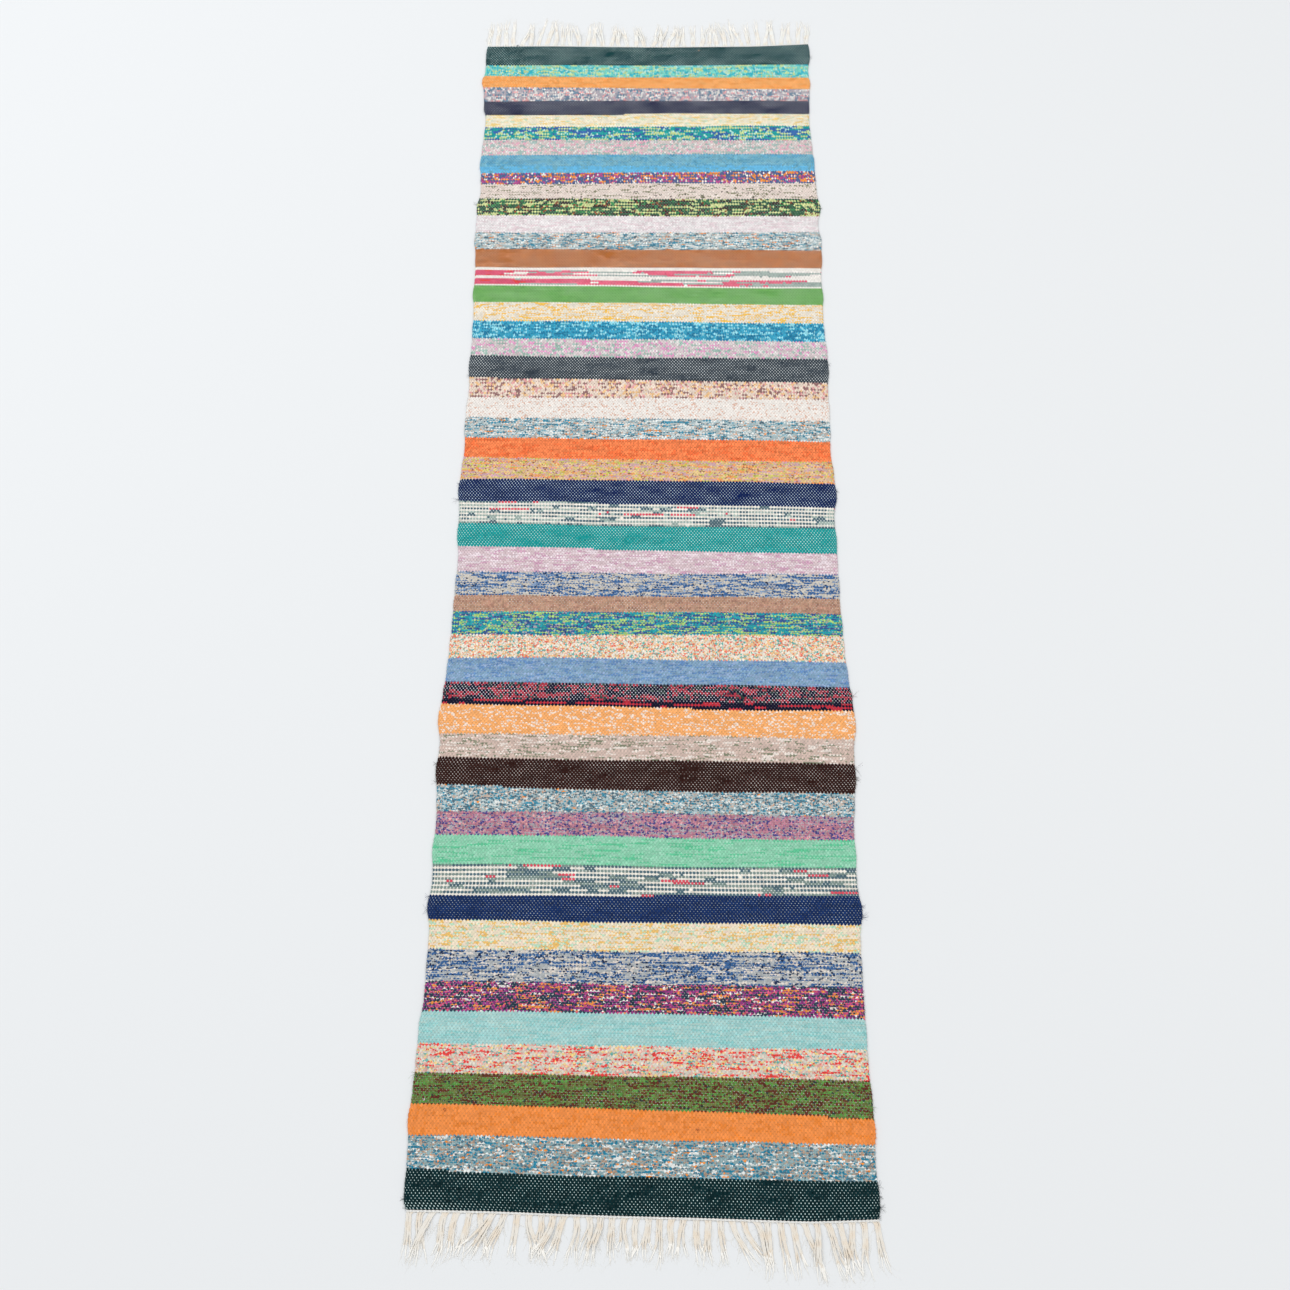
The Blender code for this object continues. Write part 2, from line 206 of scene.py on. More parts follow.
# ---- dyes: the colours of the rags, as sRGB hex ----
DYES = {
    "bottle green": "04383c", "turquoise": "3cbaca", "mint": "7cd6c8", "lime": "c8dc9a",
    "pale aqua": "b6e2da", "light orange": "ffb46e", "soft orange": "fba65a", "lilac grey": "b8b0b9",
    "slate": "6f8ca2", "dusty pink": "e8a6a6", "pale grey": "e6e2df", "plum navy": "1c2040",
    "cream": "f8efd6", "butter": "f6d88c", "pale mint": "cfe5c8", "teal": "24a6a4",
    "royal blue": "3c6cb0", "rose": "e9b2c4", "sage grey": "a8c2bc", "shell": "dccbc8",
    "sky": "72b2c8", "deep sky": "5aa4c6", "bright sky": "6cc0ea", "indigo": "566896",
    "magenta": "b6508e", "orange": "f59848", "white": "f6f1ea", "sand pink": "e8d8ce",
    "olive grey": "8a8a6e", "oat": "f0e4da", "forest": "3c664c", "soot": "443a36", "leaf": "459458",
    "pale lime": "d4dc98", "brick": "96583a", "palest pink": "f0eaea", "blush": "e8d6da",
    "blue grey": "aec4c8", "petrol": "3c92ae", "beige": "cfb8a8", "storm": "557280", "rust": "b06834",
    "pale rust": "c47a48", "crimson": "e65f7c", "speckle grey": "9fb0a8", "grass": "70ae5c",
    "deep grass": "62a250", "ivory": "f2e8d8", "yolk": "fbc858", "cobalt": "3aa6c8",
    "ice blue": "96deec", "deep cobalt": "2484ac", "pink grey": "dccdcf", "candy": "eaa4cc",
    "mint grey": "a6c4b8", "charcoal": "36404a", "apricot cream": "f0dccb", "amber": "f3c690",
    "wine": "9c7472", "shell cream": "f6efe8", "faint rust": "e6bca8", "coral orange": "ff8a54",
    "deep coral": "fa7844", "straw": "eccc90", "chartreuse": "d2d45e", "salmon": "f8a262",
    "mauve grey": "d8adb4", "cocoa": "a26a58", "navy": "041e52", "chalk": "efe8dc",
    "grey green": "7e908a", "dark slate": "506a74", "red": "da5060", "teal green": "0e9896",
    "lilac pink": "dec7cc", "bright lilac": "d6a8c0", "pale lilac": "f2e2e8", "denim": "3c669a",
    "mid denim": "88a0c0", "pale denim": "d0c9be", "taupe": "be967e", "deep taupe": "b88c78",
    "sea": "2aa2ac", "ink blue": "3a5a94", "apple": "b0d67c", "coral": "ef7860", "sea green": "6cb6ac",
    "cornflower": "88aac6", "pale cornflower": "98b2d4", "deep cornflower": "6a92c4",
    "night": "100e2a", "cherry": "b03646", "dark moss": "34423e", "bright cherry": "c83040",
    "apricot": "ffb470", "apricot white": "fce4d2", "stone": "d6beb2", "lichen": "8a8e76",
    "brown": "311611", "grape": "be8092", "lavender grey": "b0a8b0", "violet": "50498a",
    "spearmint": "90d4b2", "pale spearmint": "a0dabd", "deep spearmint": "66cc9c",
    "deep navy": "142e5e", "custard": "f3e6ca", "pale custard": "f6e0cc", "celadon": "bfe2c4",
    "dove": "b2b6b8", "bone": "e4dad0", "midnight": "223252", "aubergine": "2f4052",
    "fuchsia": "9a3c86", "raspberry": "d8587e", "aqua": "a9d6d4", "pale aqua white": "b8d8d2",
    "deep aqua": "92d0ce", "scarlet": "f04844", "olive": "6e7a42", "fern": "609a48",
    "chestnut": "663626", "bright orange": "f7954e", "tangerine": "f08a3c", "deep petrol": "2a86a4",
    "ash": "94b0b4", "camel": "b69c88", "mist": "e8ebe8", "hot orange": "fc9422",
    "black green": "04282c", "warp": "f0f3ef", "cotton": "efeae1", "cotton shade": "eddfcc",
    # far cotton and far cotton shade: the fringe's cotton painted paler, painted light for the brighter
    # light on the far fringe
    "far cotton": "f5f5f0", "far cotton shade": "f3eadc", "heading": "fffefa", "coral blush": "eeb0a2",
    "parchment": "e2dacb", "deep butter": "f2c472", "fibre": "fffcf6",
}

# ---- yarns: what each rag is made of ----
# ground: the main dye. flecks: (dye, share of the length, run in ends), each over the last, and
# where they don't lie as usual, (..., length of the patches they come in, how thick they are there,
# how much they keep to every other pick, how much the patches change from pick to pick).
# warp: how much of the off-white warp shows through, 0 to 1. tone: how much picks differ.
# strands: thin rags side by side in one pick, each with its own flecks. luck: how unevenly the
# warp shows from one crossing to the next. dot: how large it shows. gap: painted shade in the gaps
# between floats, how dark it is. whole: flecks take whole floats.
PATCH = 10                     # ends
PATCH_THICK = 1.05             # how much thicker than their share flecks lie in their patches
PATCH_CHANGE = 2.1             # from pick to pick: above 1, each pick has patches of its own
PATCH_RIM = 0.05               # how softly a patch ends
CLOUD_MIDDLE, CLOUD_SPREAD = 0.5, 0.11    # of the noise that places patches
SEEDS_PER_YARN = 7             # more than any rag has dyes
RUN_DRIFT = 2.4                # how much longer and shorter than usual runs of a dye get
STRAND_WANDER = 0.3            # how far the strands of a pick wander, in picks
DEEP_CREVICE_SHADE, PALE_CREVICE_SHADE = 0.45, 0.25   # painted shade in the gaps between floats: how dark it is, less in pale cloth
CREVICE_SHADE_RIM = (0.35, 0.95)     # how far from the middle of a pick the painted shade of the gaps starts and is darkest
DARKEST_SHADE = 0.2            # of a rag's own colour
WARP_STAIN = 0.07              # how much the dye round it colours the warp that shows
DOT_ENDS, DOT_PICKS = 0.28, 0.41    # half the width and half the length of a dot of warp
DOT_RIM = (0.70, 1.10)         # shares of its size between which it fades out
BLOCK_ENDS = 2.4               # ends in a block of the web where the warp shows about as much,
BLOCK_SLANT = 1.3              # and how many ends the blocks shift by with each pick
Yarn = namedtuple("Yarn", "ground flecks warp tone strands luck dot gap whole",
                  defaults=(1, 0.4, 1.0, 1.0, False))
YARNS = {
    "bottle green": Yarn("bottle green", [], .62, .07, 1, .45, 1.3, .1),
    "turquoise and lime": Yarn("mint", [
        ("turquoise", .42, 3, 10, .6, .14), ("lime", .26, 2.4, 10, .4, .14),
        ("pale aqua", .16, 1.3)], .2, .06),
    "light orange": Yarn("light orange", [("soft orange", .3, 4)], .02, .04),
    "lilac tweed": Yarn("lilac grey", [
        ("slate", .46, 2.8, 10, .65, .14), ("dusty pink", .18, 1.8, 10, .32),
        ("pale grey", .32, 1.4)], .3, .07),
    "plum navy": Yarn("plum navy", [], .58, .07, 1, .4, 1.3, .1),
    "cream yellow": Yarn("cream", [("butter", .24, 4), ("pale mint", .10, 2.5)], .05, .04, 2),
    "teal and lime": Yarn("teal", [
        ("royal blue", .42, 4.6, 16, .8, .14), ("lime", .27, 3.4, 12, .65, .1),
        ("pale aqua", .10, 1.3)], .15, .07),
    "pale pink and mint": Yarn("shell", [
        ("rose", .26, 2.2, 10, .42, .14), ("sage grey", .30, 2.2, 10, .45, .14),
        ("pale grey", .22, 1.4)], .1, .05),
    "sky blue": Yarn("sky", [("deep sky", .4, 3)], .44, .08, 1, .4, 1.2, .2),
    "light sky blue": Yarn("bright sky", [("sky", .2, 2)], .2, .05),
    "purple tweed": Yarn("indigo", [
        ("magenta", .38, 2.4, 10, .65, .14), ("orange", .26, 1.8, 8, .55, .1),
        ("white", .11, 1)], .25, .08),
    "olive speckle": Yarn("sand pink", [
        ("oat", .26, 3), ("olive grey", .12, 2, 10, .6), ("soot", .02, 1.5)], .1, .04, 2),
    "dark green melange": Yarn("forest", [
        ("soot", .40, 3.4, 12, .75, .14), ("pale lime", .37, 2.8, 12, .75, .14), ("leaf", .08, 2),
        ("brick", .06, 1.4)], .4, .08),
    "palest pink": Yarn("palest pink", [("blush", .3, 4)], .05, .05, 2),
    "grey blue tweed": Yarn("blue grey", [
        ("petrol", .30, 5, 14, .65), ("beige", .20, 2), ("storm", .14, 2), ("mist", .28, 3),
        ("hot orange", .022, 3)], .3, .07, 2),
    "rust brown": Yarn("rust", [("pale rust", .3, 3)], .60, .07, 1, .5, 1.25, .2),
    "plain white": Yarn("white", [("shell cream", .3, 6)], .1, .03),
    "crimson": Yarn("crimson", [("scarlet", .12, 4)], .15, .05),
    "crimson and grey": Yarn("crimson", [
        ("speckle grey", .46, 6, 60, .95, 0, 2.1),
        ("white", .24, 8, 50, .9, 0, 2.1)], .60, .06, 1, .3, 1.2, .2, True),
    "grass green": Yarn("grass", [("deep grass", .35, 3)], .56, .06, 1, .35, 1.2, .2),
    "cream with yolk": Yarn("ivory", [("yolk", .27, 3.4, 7, .62, .06)], .05, .04, 2),
    "strong blue": Yarn("cobalt", [
        ("ice blue", .40, 1.8, 10, .62, .14), ("deep cobalt", .30, 2, 8, .5, .1)], .25, .07),
    "pink and mint grey": Yarn("pink grey", [
        ("mint grey", .34, 2.4, 10, .5, .14), ("candy", .22, 2.2, 10, .42, .12),
        ("pale grey", .20, 1.4)], .1, .06),
    "charcoal": Yarn("charcoal", [], .64, .07, 1, .4, 1.25, .1),
    "maroon tweed": Yarn("apricot cream", [
        ("amber", .24, 1.8), ("wine", .23, 1.5, 10, .45, .14), ("dusty pink", .12, 1.4)], .15, .06),
    "palest cream": Yarn("shell cream", [("faint rust", .12, 1)], .05, .03, 2),
    "coral orange": Yarn("coral orange", [("deep coral", .25, 4)], .03, .09),
    "ochre and salmon": Yarn("straw", [
        ("chartreuse", .20, 3, 12, .6), ("salmon", .26, 2.4, 12, .6), ("mauve grey", .30, 1.8, 12, .6),
        ("cocoa", .06, 1.2)], .25, .06, 2),
    "navy": Yarn("navy", [], .64, .06, 1, .3, 1.25, .1),
    "white with red": Yarn("dark slate", [
        ("speckle grey", .46, 4, 24, .9, .0, 2.1), ("chalk", .42, 6, 24, .95, .38, 1.4),
        ("red", .07, 14, 45, .95)], .85, .06, 1, .3, 1.3, .1, True),
    "teal green": Yarn("teal green", [], .70, .06, 1, .3, 1.25, .1),
    "lilac pink": Yarn("lilac pink", [("pale lilac", .32, 4), ("bright lilac", .16, 4)], .05, .04, 2),
    "denim": Yarn("pale denim", [
        ("mid denim", .28, 2, 12, .6), ("denim", .36, 3, 14, .75),
        ("midnight", .05, 1.2)], .4, .06, 2),
    "taupe": Yarn("taupe", [("deep taupe", .35, 3)], .44, .10, 1, .9, 1.1, .2),
    "teal and navy": Yarn("sea", [
        ("ink blue", .42, 3, 16, .75), ("apple", .26, 3, 14, .6, .1),
        ("lavender grey", .08, 1.2)], .2, .08, 2),
    "coral and teal tweed": Yarn("ivory", [
        ("coral", .25, 1.2), ("sea green", .17, 1.2), ("amber", .22, 1.2)], .15, .05, 2),
    "cornflower": Yarn("cornflower", [
        ("pale cornflower", .3, 3), ("deep cornflower", .22, 3)], .2, .06, 2),
    "maroon and navy": Yarn("night", [
        ("cherry", .42, 1.4, 10, .7), ("dark moss", .20, 1.4)], .72, .07, 1, .4, 1.2, .1),
    "navy and red": Yarn("night", [("bright cherry", .36, 6, 30, .9)], .25, .06),
    "apricot": Yarn("apricot", [("apricot white", .22, 1.8)], .1, .04, 2),
    "beige streaks": Yarn("stone", [("oat", .2, 4), ("lichen", .16, 2, 10, .6)], .1, .05, 2),
    "dark brown": Yarn("brown", [], .44, .09, 1, .6, 1.15),
    "blue grey tweed": Yarn("blue grey", [
        ("petrol", .34, 2.4, 14, .5), ("beige", .26, 1.3), ("storm", .28, 1.3), ("mist", .14, 1.8),
        ("hot orange", .010, 2, 6, .2)], .35, .06, 2),
    "mauve": Yarn("grape", [
        ("lavender grey", .32, 1.5, 18, .6), ("violet", .24, 1.2),
        ("dusty pink", .05, 1.2)], .35, .09, 2),
    "mint": Yarn("spearmint", [
        ("pale spearmint", .34, 2), ("deep spearmint", .16, 12, 20, .5)], .1, .04, 2),
    "grey green streaks": Yarn("dark slate", [
        ("grey green", .46, 4, 24, .9, .0, 2.1), ("chalk", .22, 8, 26, .95, .34, 1.4),
        ("red", .10, 14, 45, .95)], .85, .06, 1, .3, 1.15, .3, True),
    "deep navy": Yarn("deep navy", [], .40, .10, 1, .4, 1.05),
    "cream with mint": Yarn("custard", [
        ("pale custard", .24, 2), ("deep butter", .26, 2.4, 12, .5),
        ("celadon", .14, 2, 8, .35)], .1, .04, 2),
    "denim and cream": Yarn("dove", [
        ("bone", .30, 2, 14, .6), ("denim", .38, 2, 20, .75), ("midnight", .12, 1.4)], .5, .06, 2),
    "magenta tweed": Yarn("aubergine", [
        ("fuchsia", .36, 1.6, 16, .6), ("raspberry", .17, 1.4), ("orange", .14, 2.6, 8, .5),
        ("white", .06, 1.2, 10, .4)], .4, .08, 2),
    "aqua": Yarn("aqua", [("pale aqua white", .30, 6), ("deep aqua", .2, 6)], .06, .04, 3),
    "coral and yellow tweed": Yarn("parchment", [
        ("sea green", .14, 2.4, 10, .5), ("butter", .20, 1.8), ("coral blush", .24, 1.3),
        ("scarlet", .20, 1.6, 12, .55)], .3, .06, 2),
    "olive and maroon": Yarn("olive", [
        ("fern", .30, 1.6, 12, .5), ("chestnut", .34, 1.5, 12, .6),
        ("dark moss", .06, 1.2)], .35, .10, 2, .7),
    "bright orange": Yarn("bright orange", [("tangerine", .25, 2)], .06, .045, 1, .4, 1.0, .6),
    "teal tweed": Yarn("ash", [
        ("deep petrol", .36, 2.2, 14, .55), ("camel", .24, 1.3), ("storm", .14, 1.3),
        ("mist", .17, 1.8, 10, .45), ("hot orange", .032, 2.4, 4, .5)], .45, .06, 2),
    "black green": Yarn("black green", [], .68, .10, 1, .7, .92),
}

# ---- the fringes ----
ENDS_PER_BUNDLE = 6
EDGE_BUNDLE_INSET = 4.0 * MM   # from a corner of the web to the middle of the bundle beside it
END_RADIUS = 1.30 * MM         # of one loose warp end, a plied cotton cord
END_HEIGHT = 0.55              # of its width: it lies flattened
END_SIDES = 6
END_STEPS = 15
PALE_FROM_STEP = 10            # where a cord has frayed to bare fibres, which is real; from here its colour is painted nearly white, painted light for the light its loose fibres let through
PLY_LENGTH = 3.4 * MM          # along a cord, for one turn of its strands
ENDS_PER_LOCK = 2              # ends that stay together where the bundle frays apart
TURN_PER_END = 2.4             # radians round a bundle from one of its ends to the next
CROSSING_LEAN = 9              # mm: a bundle that leans this much more than the last lies over it,
OVER_HEIGHT = 2.2 * MM         # and this much higher
ROOT_DEPTH = 1.0 * MM          # how far an end starts inside the heading,
ROOT_HEIGHT = 1.3 * MM         # and how high
HAIRS_PER_END = 2
STRAY_FIBRES = 520
FIBRE_STEPS = 5
FIBRE_HEIGHT = 0.3 * MM        # of a fibre's tip above the floor
# At shares of an end's length, from its root to its tip: how thick it is, in its usual thickness,
# and how far it lies from the next end of its bundle.
END_TAPER = ((0, 0.8), (0.08, 1.0), (0.55, 1.0), (0.8, 0.68), (1.0, 0.18))
BUNDLE_PITCHES = ((0, 1.35 * MM), (0.35, 1.35 * MM), (0.65, 1.485 * MM), (1.0, 2.9 * MM))

# How each bundle of a fringe lies, from the left selvedge to the right one, in millimetres.
# lean: how far its tip has swung to the right. length: from the heading to its tip.
Lie = namedtuple("Lie", "lean length")
NEAR_FRINGE = [Lie(lean, length) for lean, length in (
    (1, 80), (4, 86), (-33, 82), (-10, 88), (-14, 82), (-14, 78), (4, 76), (-46, 74), (-28, 78), (-3, 80),
    (11, 76), (5, 78), (-28, 74), (-22, 77), (-8, 77), (0, 75), (-13, 76), (0, 74), (-2, 71), (-8, 69),
    (-5, 68), (-3, 80), (-4, 71), (-6, 68), (6, 73), (0, 76), (1, 72), (30, 80), (30, 78), (20, 82),
    (0, 91), (15, 93), (17, 91), (28, 96), (6, 98), (25, 94), (15, 95), (3, 96), (0, 93), (12, 92),
)]
FAR_FRINGE = [Lie(lean, length) for lean, length in (
    (-3, 88), (-1, 84), (4, 90), (2, 99), (20, 84), (5, 86), (18, 97), (16, 96), (6, 98), (6, 84),
    (0, 82), (-11, 80), (5, 84), (-3, 88), (-15, 88), (8, 82), (-5, 82), (-18, 80), (3, 74), (-12, 76),
    (15, 80), (3, 80), (20, 80), (5, 80), (-4, 82), (5, 80), (12, 82), (4, 84), (0, 84), (-12, 86),
    (-10, 94), (-17, 90), (-8, 88), (-7, 96), (5, 102), (-10, 92), (5, 82), (2, 84), (3, 84), (3, 82),
)]
NEAR_SEED, FAR_SEED, WISP_SEED = 11, 23, 77

# Loose wisps at the selvedges: (side, stripe, share of the stripe, hairs, length in mm).
WISPS = [
    (-1, "dark green melange", 0.35, 5, 12), (-1, "navy", 0.20, 4, 9), (-1, "navy", 0.92, 6, 16),
    (-1, "charcoal", 0.9, 4, 8), (-1, "dark brown", 0.25, 6, 9), (-1, "dark brown", 0.93, 6, 11),
    (-1, "deep navy", 0.15, 5, 9), (-1, "deep navy", 0.65, 5, 10), (-1, "olive and maroon", 0.02, 5, 12),
    (-1, "black green", 0.75, 7, 8), (-1, "black green", 0.95, 6, 8),
    (1, "bottle green", 0.6, 5, 9), (1, "dark green melange", 0.5, 5, 9), (1, "charcoal", 0.25, 6, 9),
    (1, "navy", 0.25, 5, 9), (1, "maroon and navy", 0.40, 5, 16), (1, "dark brown", 0.15, 5, 20),
    (1, "dark brown", 0.5, 8, 12), (1, "deep navy", 0.35, 6, 8), (1, "deep navy", 0.7, 7, 14),
    (1, "olive and maroon", 0.75, 5, 9), (1, "black green", 0.18, 8, 10), (1, "black green", 0.45, 8, 9),
    (1, "black green", 0.72, 9, 11), (1, "black green", 0.97, 6, 9),
]

# Ends of rag and knots that stick up out of the web, each a small curl: (stripe, share of the
# stripe, share of the width, dye of this stripe, size in mm).
NUBS = [
    ("bottle green", -0.05, 0.093, "bottle green", 3.4),
    ("olive and maroon", 0.86, 0.027, "palest pink", 2.8),
    ("bright orange", 0.20, 0.076, "rust brown", 4.0),
    ("bright orange", 0.62, 0.62, "rust brown", 3.6),
    ("coral and yellow tweed", 0.83, 0.75, "palest pink", 3.2),
    ("bottle green", 0.21, 0.657, "apricot", 2.0),
]
NUB_RADIUS = 0.7 * MM
NUB_TURN = 4.6                 # radians
WISP_STEPS, WISP_SIDES = 6, 3
WISP_RADIUS, FUZZ_RADIUS = 0.16, 0.10     # mm, of a loose thread and of finer fuzz

# ---- the map for baking, 0 to 1 ----
BAKE_EDGE = 0.005
# From one v to another: the top, the underside, the far wall, the near wall and the corners.
BAKE_STRIPS = ((0.10, 0.995), (0.04, 0.08), (0.002, 0.012), (0.017, 0.027), (0.03, 0.034))
MIX_SOCKETS, MIX_RESULT = (0, 6, 7), 2    # of a Mix node that mixes colours

# ---- camera and light ----
CAMERA_HEIGHT = 3.07
CAMERA_FROM_NEAR_EDGE = 1.003  # along the floor, to the middle of the near end of the web
CAMERA_SIDE = 0.010            # to the right of the rug's middle line
CAMERA_DOWN = math.radians(56.3)
CAMERA_TURN = math.radians(0.25)
FOCAL_PIXELS = 2044.0          # of the photograph, which is 1290 pixels square
PHOTO_PIXELS = 1290.0
SENSOR_WIDTH = 36.0
FLOOR_SIZE = 40.0
FLOOR_COLOUR = (0.825, 0.84, 0.85, 1.0)
SKY_COLOUR, SKY_STRENGTH = (0.982, 0.99, 1.0, 1.0), 0.785
# (name, place, what it points at, size in metres, power, colour)
SOFTBOXES = [
    ("left_softbox", (-3.8, 1.2, 4.6), (-0.3, 0.3, 0), 3.0, 76.0, (0.96, 0.98, 1.0)),
    ("right_softbox", (4.4, -0.8, 5.0), (0, -0.6, 0), 3.0, 57.0, (1.0, 0.98, 0.95)),
    ("far_softbox", (-0.8, 3.6, 3.6), (-0.5, 2.0, 0), 2.0, 14.0, (1.0, 1.0, 1.0)),
]


def linear(name):
    """A dye's colour as the shader wants it."""
    parts = [byte / 255 for byte in bytes.fromhex(DYES[name])]
    return tuple(p / 12.92 if p <= 0.04045 else ((p + 0.055) / 1.055) ** 2.4 for p in parts) + (1.0,)


# ------------------------------------------------------------------ shader sums

def feed(socket, value):
    """Sets an input to a plain number or colour, or links it to what works it out."""
    if isinstance(value, Value):
        value.tree.links.new(value.socket, socket)
    else:
        socket.default_value = value


class Value:
    """Something that a shader works out. Sums of such numbers are written as plain ones are."""

    def __init__(self, tree, socket):
        self.tree, self.socket = tree, socket

    def sum(self, operation, *values):
        """A Math node: its operation on values and plain numbers."""
        node = self.tree.nodes.new("ShaderNodeMath")
        node.operation = operation
        for socket, value in zip(node.inputs, values):
            feed(socket, value)
        return Value(self.tree, node.outputs[0])

    def __add__(self, other):
        return self.sum("ADD", self, other)

    def __sub__(self, other):
        return self.sum("SUBTRACT", self, other)

    def __rsub__(self, other):
        return self.sum("SUBTRACT", other, self)

    def __mul__(self, other):
        return self.sum("MULTIPLY", self, other)

    def __truediv__(self, other):
        return self.sum("DIVIDE", self, other)

    def __mod__(self, other):
        return self.sum("FLOORED_MODULO", self, other)

    def __pow__(self, other):
        return self.sum("POWER", self, other)

    def __lt__(self, other):
        return self.sum("LESS_THAN", self, other)

    def __abs__(self):
        return self.sum("ABSOLUTE", self)

    def __floor__(self):
        return self.sum("FLOOR", self)

    def __round__(self):
        return self.sum("ROUND", self)

    __radd__ = __add__
    __rmul__ = __mul__


def square(value):
    return abs(value) ** 2.0


def place(x, y, z):
    """A vector of a value and two values or plain numbers."""
    node = x.tree.nodes.new("ShaderNodeCombineXYZ")
    for socket, value in zip(node.inputs, (x, y, z)):
        feed(socket, value)
    return Value(x.tree, node.outputs[0])


def luck(x, y, z):
    """An even random number from 0 to 1 for each whole-numbered place."""
    node = x.tree.nodes.new("ShaderNodeTexWhiteNoise")
    node.noise_dimensions = "3D"
    feed(node.inputs["Vector"], place(x, y, z))
    return Value(x.tree, node.outputs["Value"])


def cloud(where, scale=1.0, detail=2.0):
    """A soft random number from 0 to 1 that changes slowly from place to place."""
    node = where.tree.nodes.new("ShaderNodeTexNoise")
    node.inputs["Scale"].default_value = scale
    node.inputs["Detail"].default_value = detail
    feed(node.inputs["Vector"], where)
    return Value(where.tree, node.outputs["Fac"])


def ease(value, low, high):
    """0 below low, 1 above high, with a smooth step between."""
    node = value.tree.nodes.new("ShaderNodeMapRange")
    node.interpolation_type = "SMOOTHSTEP"
    for label, setting in (("Value", value), ("From Min", low), ("From Max", high)):
        feed(node.inputs[label], setting)
    return Value(value.tree, node.outputs["Result"])


def blend(share, under, over):
    """Two colours mixed by a share."""
    node = share.tree.nodes.new("ShaderNodeMix")
    node.data_type = "RGBA"
    for number, value in zip(MIX_SOCKETS, (share, under, over)):
        feed(node.inputs[number], value)
    return Value(share.tree, node.outputs[MIX_RESULT])


def weave_place(tree):
    """A point's weave coordinates: ends and picks on the web, turns and plies on a cord."""
    chart = tree.nodes.new("ShaderNodeUVMap")
    chart.uv_map = "weave"
    split = tree.nodes.new("ShaderNodeSeparateXYZ")
    feed(split.inputs[0], Value(tree, chart.outputs["UV"]))
    return Value(tree, split.outputs[0]), Value(tree, split.outputs[1])


def rug_place(tree):
    """A point's place on the rug, in metres."""
    return Value(tree, tree.nodes.new("ShaderNodeTexCoord").outputs["Object"])


def swings(parts):
    """The sum of random numbers about 0, each times its strength."""
    return sum((value - 0.5) * strength for value, strength in parts)


# ------------------------------------------------------------------ shader groups

def new_group(name, inputs, outputs):
    """An empty node group, its inputs by label, and its output sockets. An input is a colour or a
    number as its value is, and an output is a number unless it is called Color."""
    group = bpy.data.node_groups.new(name, "ShaderNodeTree")
    for label, value in inputs.items():
        kind = "NodeSocketColor" if isinstance(value, tuple) else "NodeSocketFloat"
        group.interface.new_socket(label, in_out="INPUT", socket_type=kind).default_value = value
    for label in outputs:
        kind = "NodeSocketColor" if label == "Color" else "NodeSocketFloat"
        group.interface.new_socket(label, in_out="OUTPUT", socket_type=kind)
    given = group.nodes.new("NodeGroupInput").outputs
    gives = group.nodes.new("NodeGroupOutput").inputs
    return group, {label: Value(group, given[label]) for label in inputs}, gives


def float_of(along, pick):
    """The number of the float over two ends that a point of a pick belongs to."""
    return math.floor((along + (pick + 1.0)) * 0.5)


def weave_grid(total_picks):
    """Where a point lies in the web: which pick, how far along it and whether the warp shows, and
    the painted shade that darkens the gaps between floats.
    """
    group, given, gives = new_group(
        "weave_grid", {"Warp Show": 0.5, "Dot Luck": 0.5, "Dot Size": 1.0},
        ["Along", "Across", "Pick", "Float", "Warp Dot", "Crevice", "Height"])
    along, across = weave_place(group)
    end, pick = round(along), round(across)
    off_end, off_pick = along - end, across - pick
    goes_under = (end + pick) % 2.0
    # the last picks are beaten in less, most of all at the left corner
    from_pick = total_picks - LOOSE_PICKS
    loose = ease(across, from_pick, from_pick + LOOSE_COMES) * (LOOSE_MOST - ease(along, *LOOSE_CORNER))
    # the dot of warp is an upright oval in every crossing where the pick goes under
    reach = square(off_end / DOT_ENDS) + square(off_pick / DOT_PICKS)
    reach = reach.sum("SQRT", reach) / (given["Dot Size"] + loose * LOOSE_DOT)
    oval = 1.0 - ease(reach, *DOT_RIM)
    # it shows in patches, and more or less by luck from block to block
    patch = cloud(place(along * 0.06, pick * 0.20, 3.7))
    mottle = cloud(place(along * 0.22, pick * 0.6, 6.1), detail=1.0)
    block = math.floor((end + pick * BLOCK_SLANT) / BLOCK_ENDS)
    chance = luck(block, math.floor(pick * 0.5), 1.0)
    swing = 1.0 + swings([(patch, 3.6)]) + given["Dot Luck"] * swings([(chance, 1.7), (mottle, 2.0)])
    shown = group.nodes.new("ShaderNodeClamp")
    feed(shown.inputs["Value"], given["Warp Show"] * (swing + loose * LOOSE_SHOW))
    dot = oval * goes_under * Value(group, shown.outputs[0])
    # a pick is a row of humps, highest where it floats over an end
    turn = (along + pick) * math.pi
    wave = turn.sum("COSINE", turn)
    rise = (wave * 0.42 + 0.58) * (1.0 - square(off_pick * 2.0) * 0.9)
    # painted shade: darkest at the edges of a pick and round its dips, where shade falls between the
    # floats
    gap = abs(off_pick) + square((1.0 - wave) * 0.5) * 0.7
    for label, value in (
            ("Along", along), ("Across", across), ("Pick", pick),
            ("Float", float_of(along, pick) * 2.0 - pick), ("Warp Dot", dot),
            ("Crevice", ease(gap, *CREVICE_SHADE_RIM)), ("Height", rise * 0.8 + dot * 0.35)):
        feed(gives[label], value)
    return group


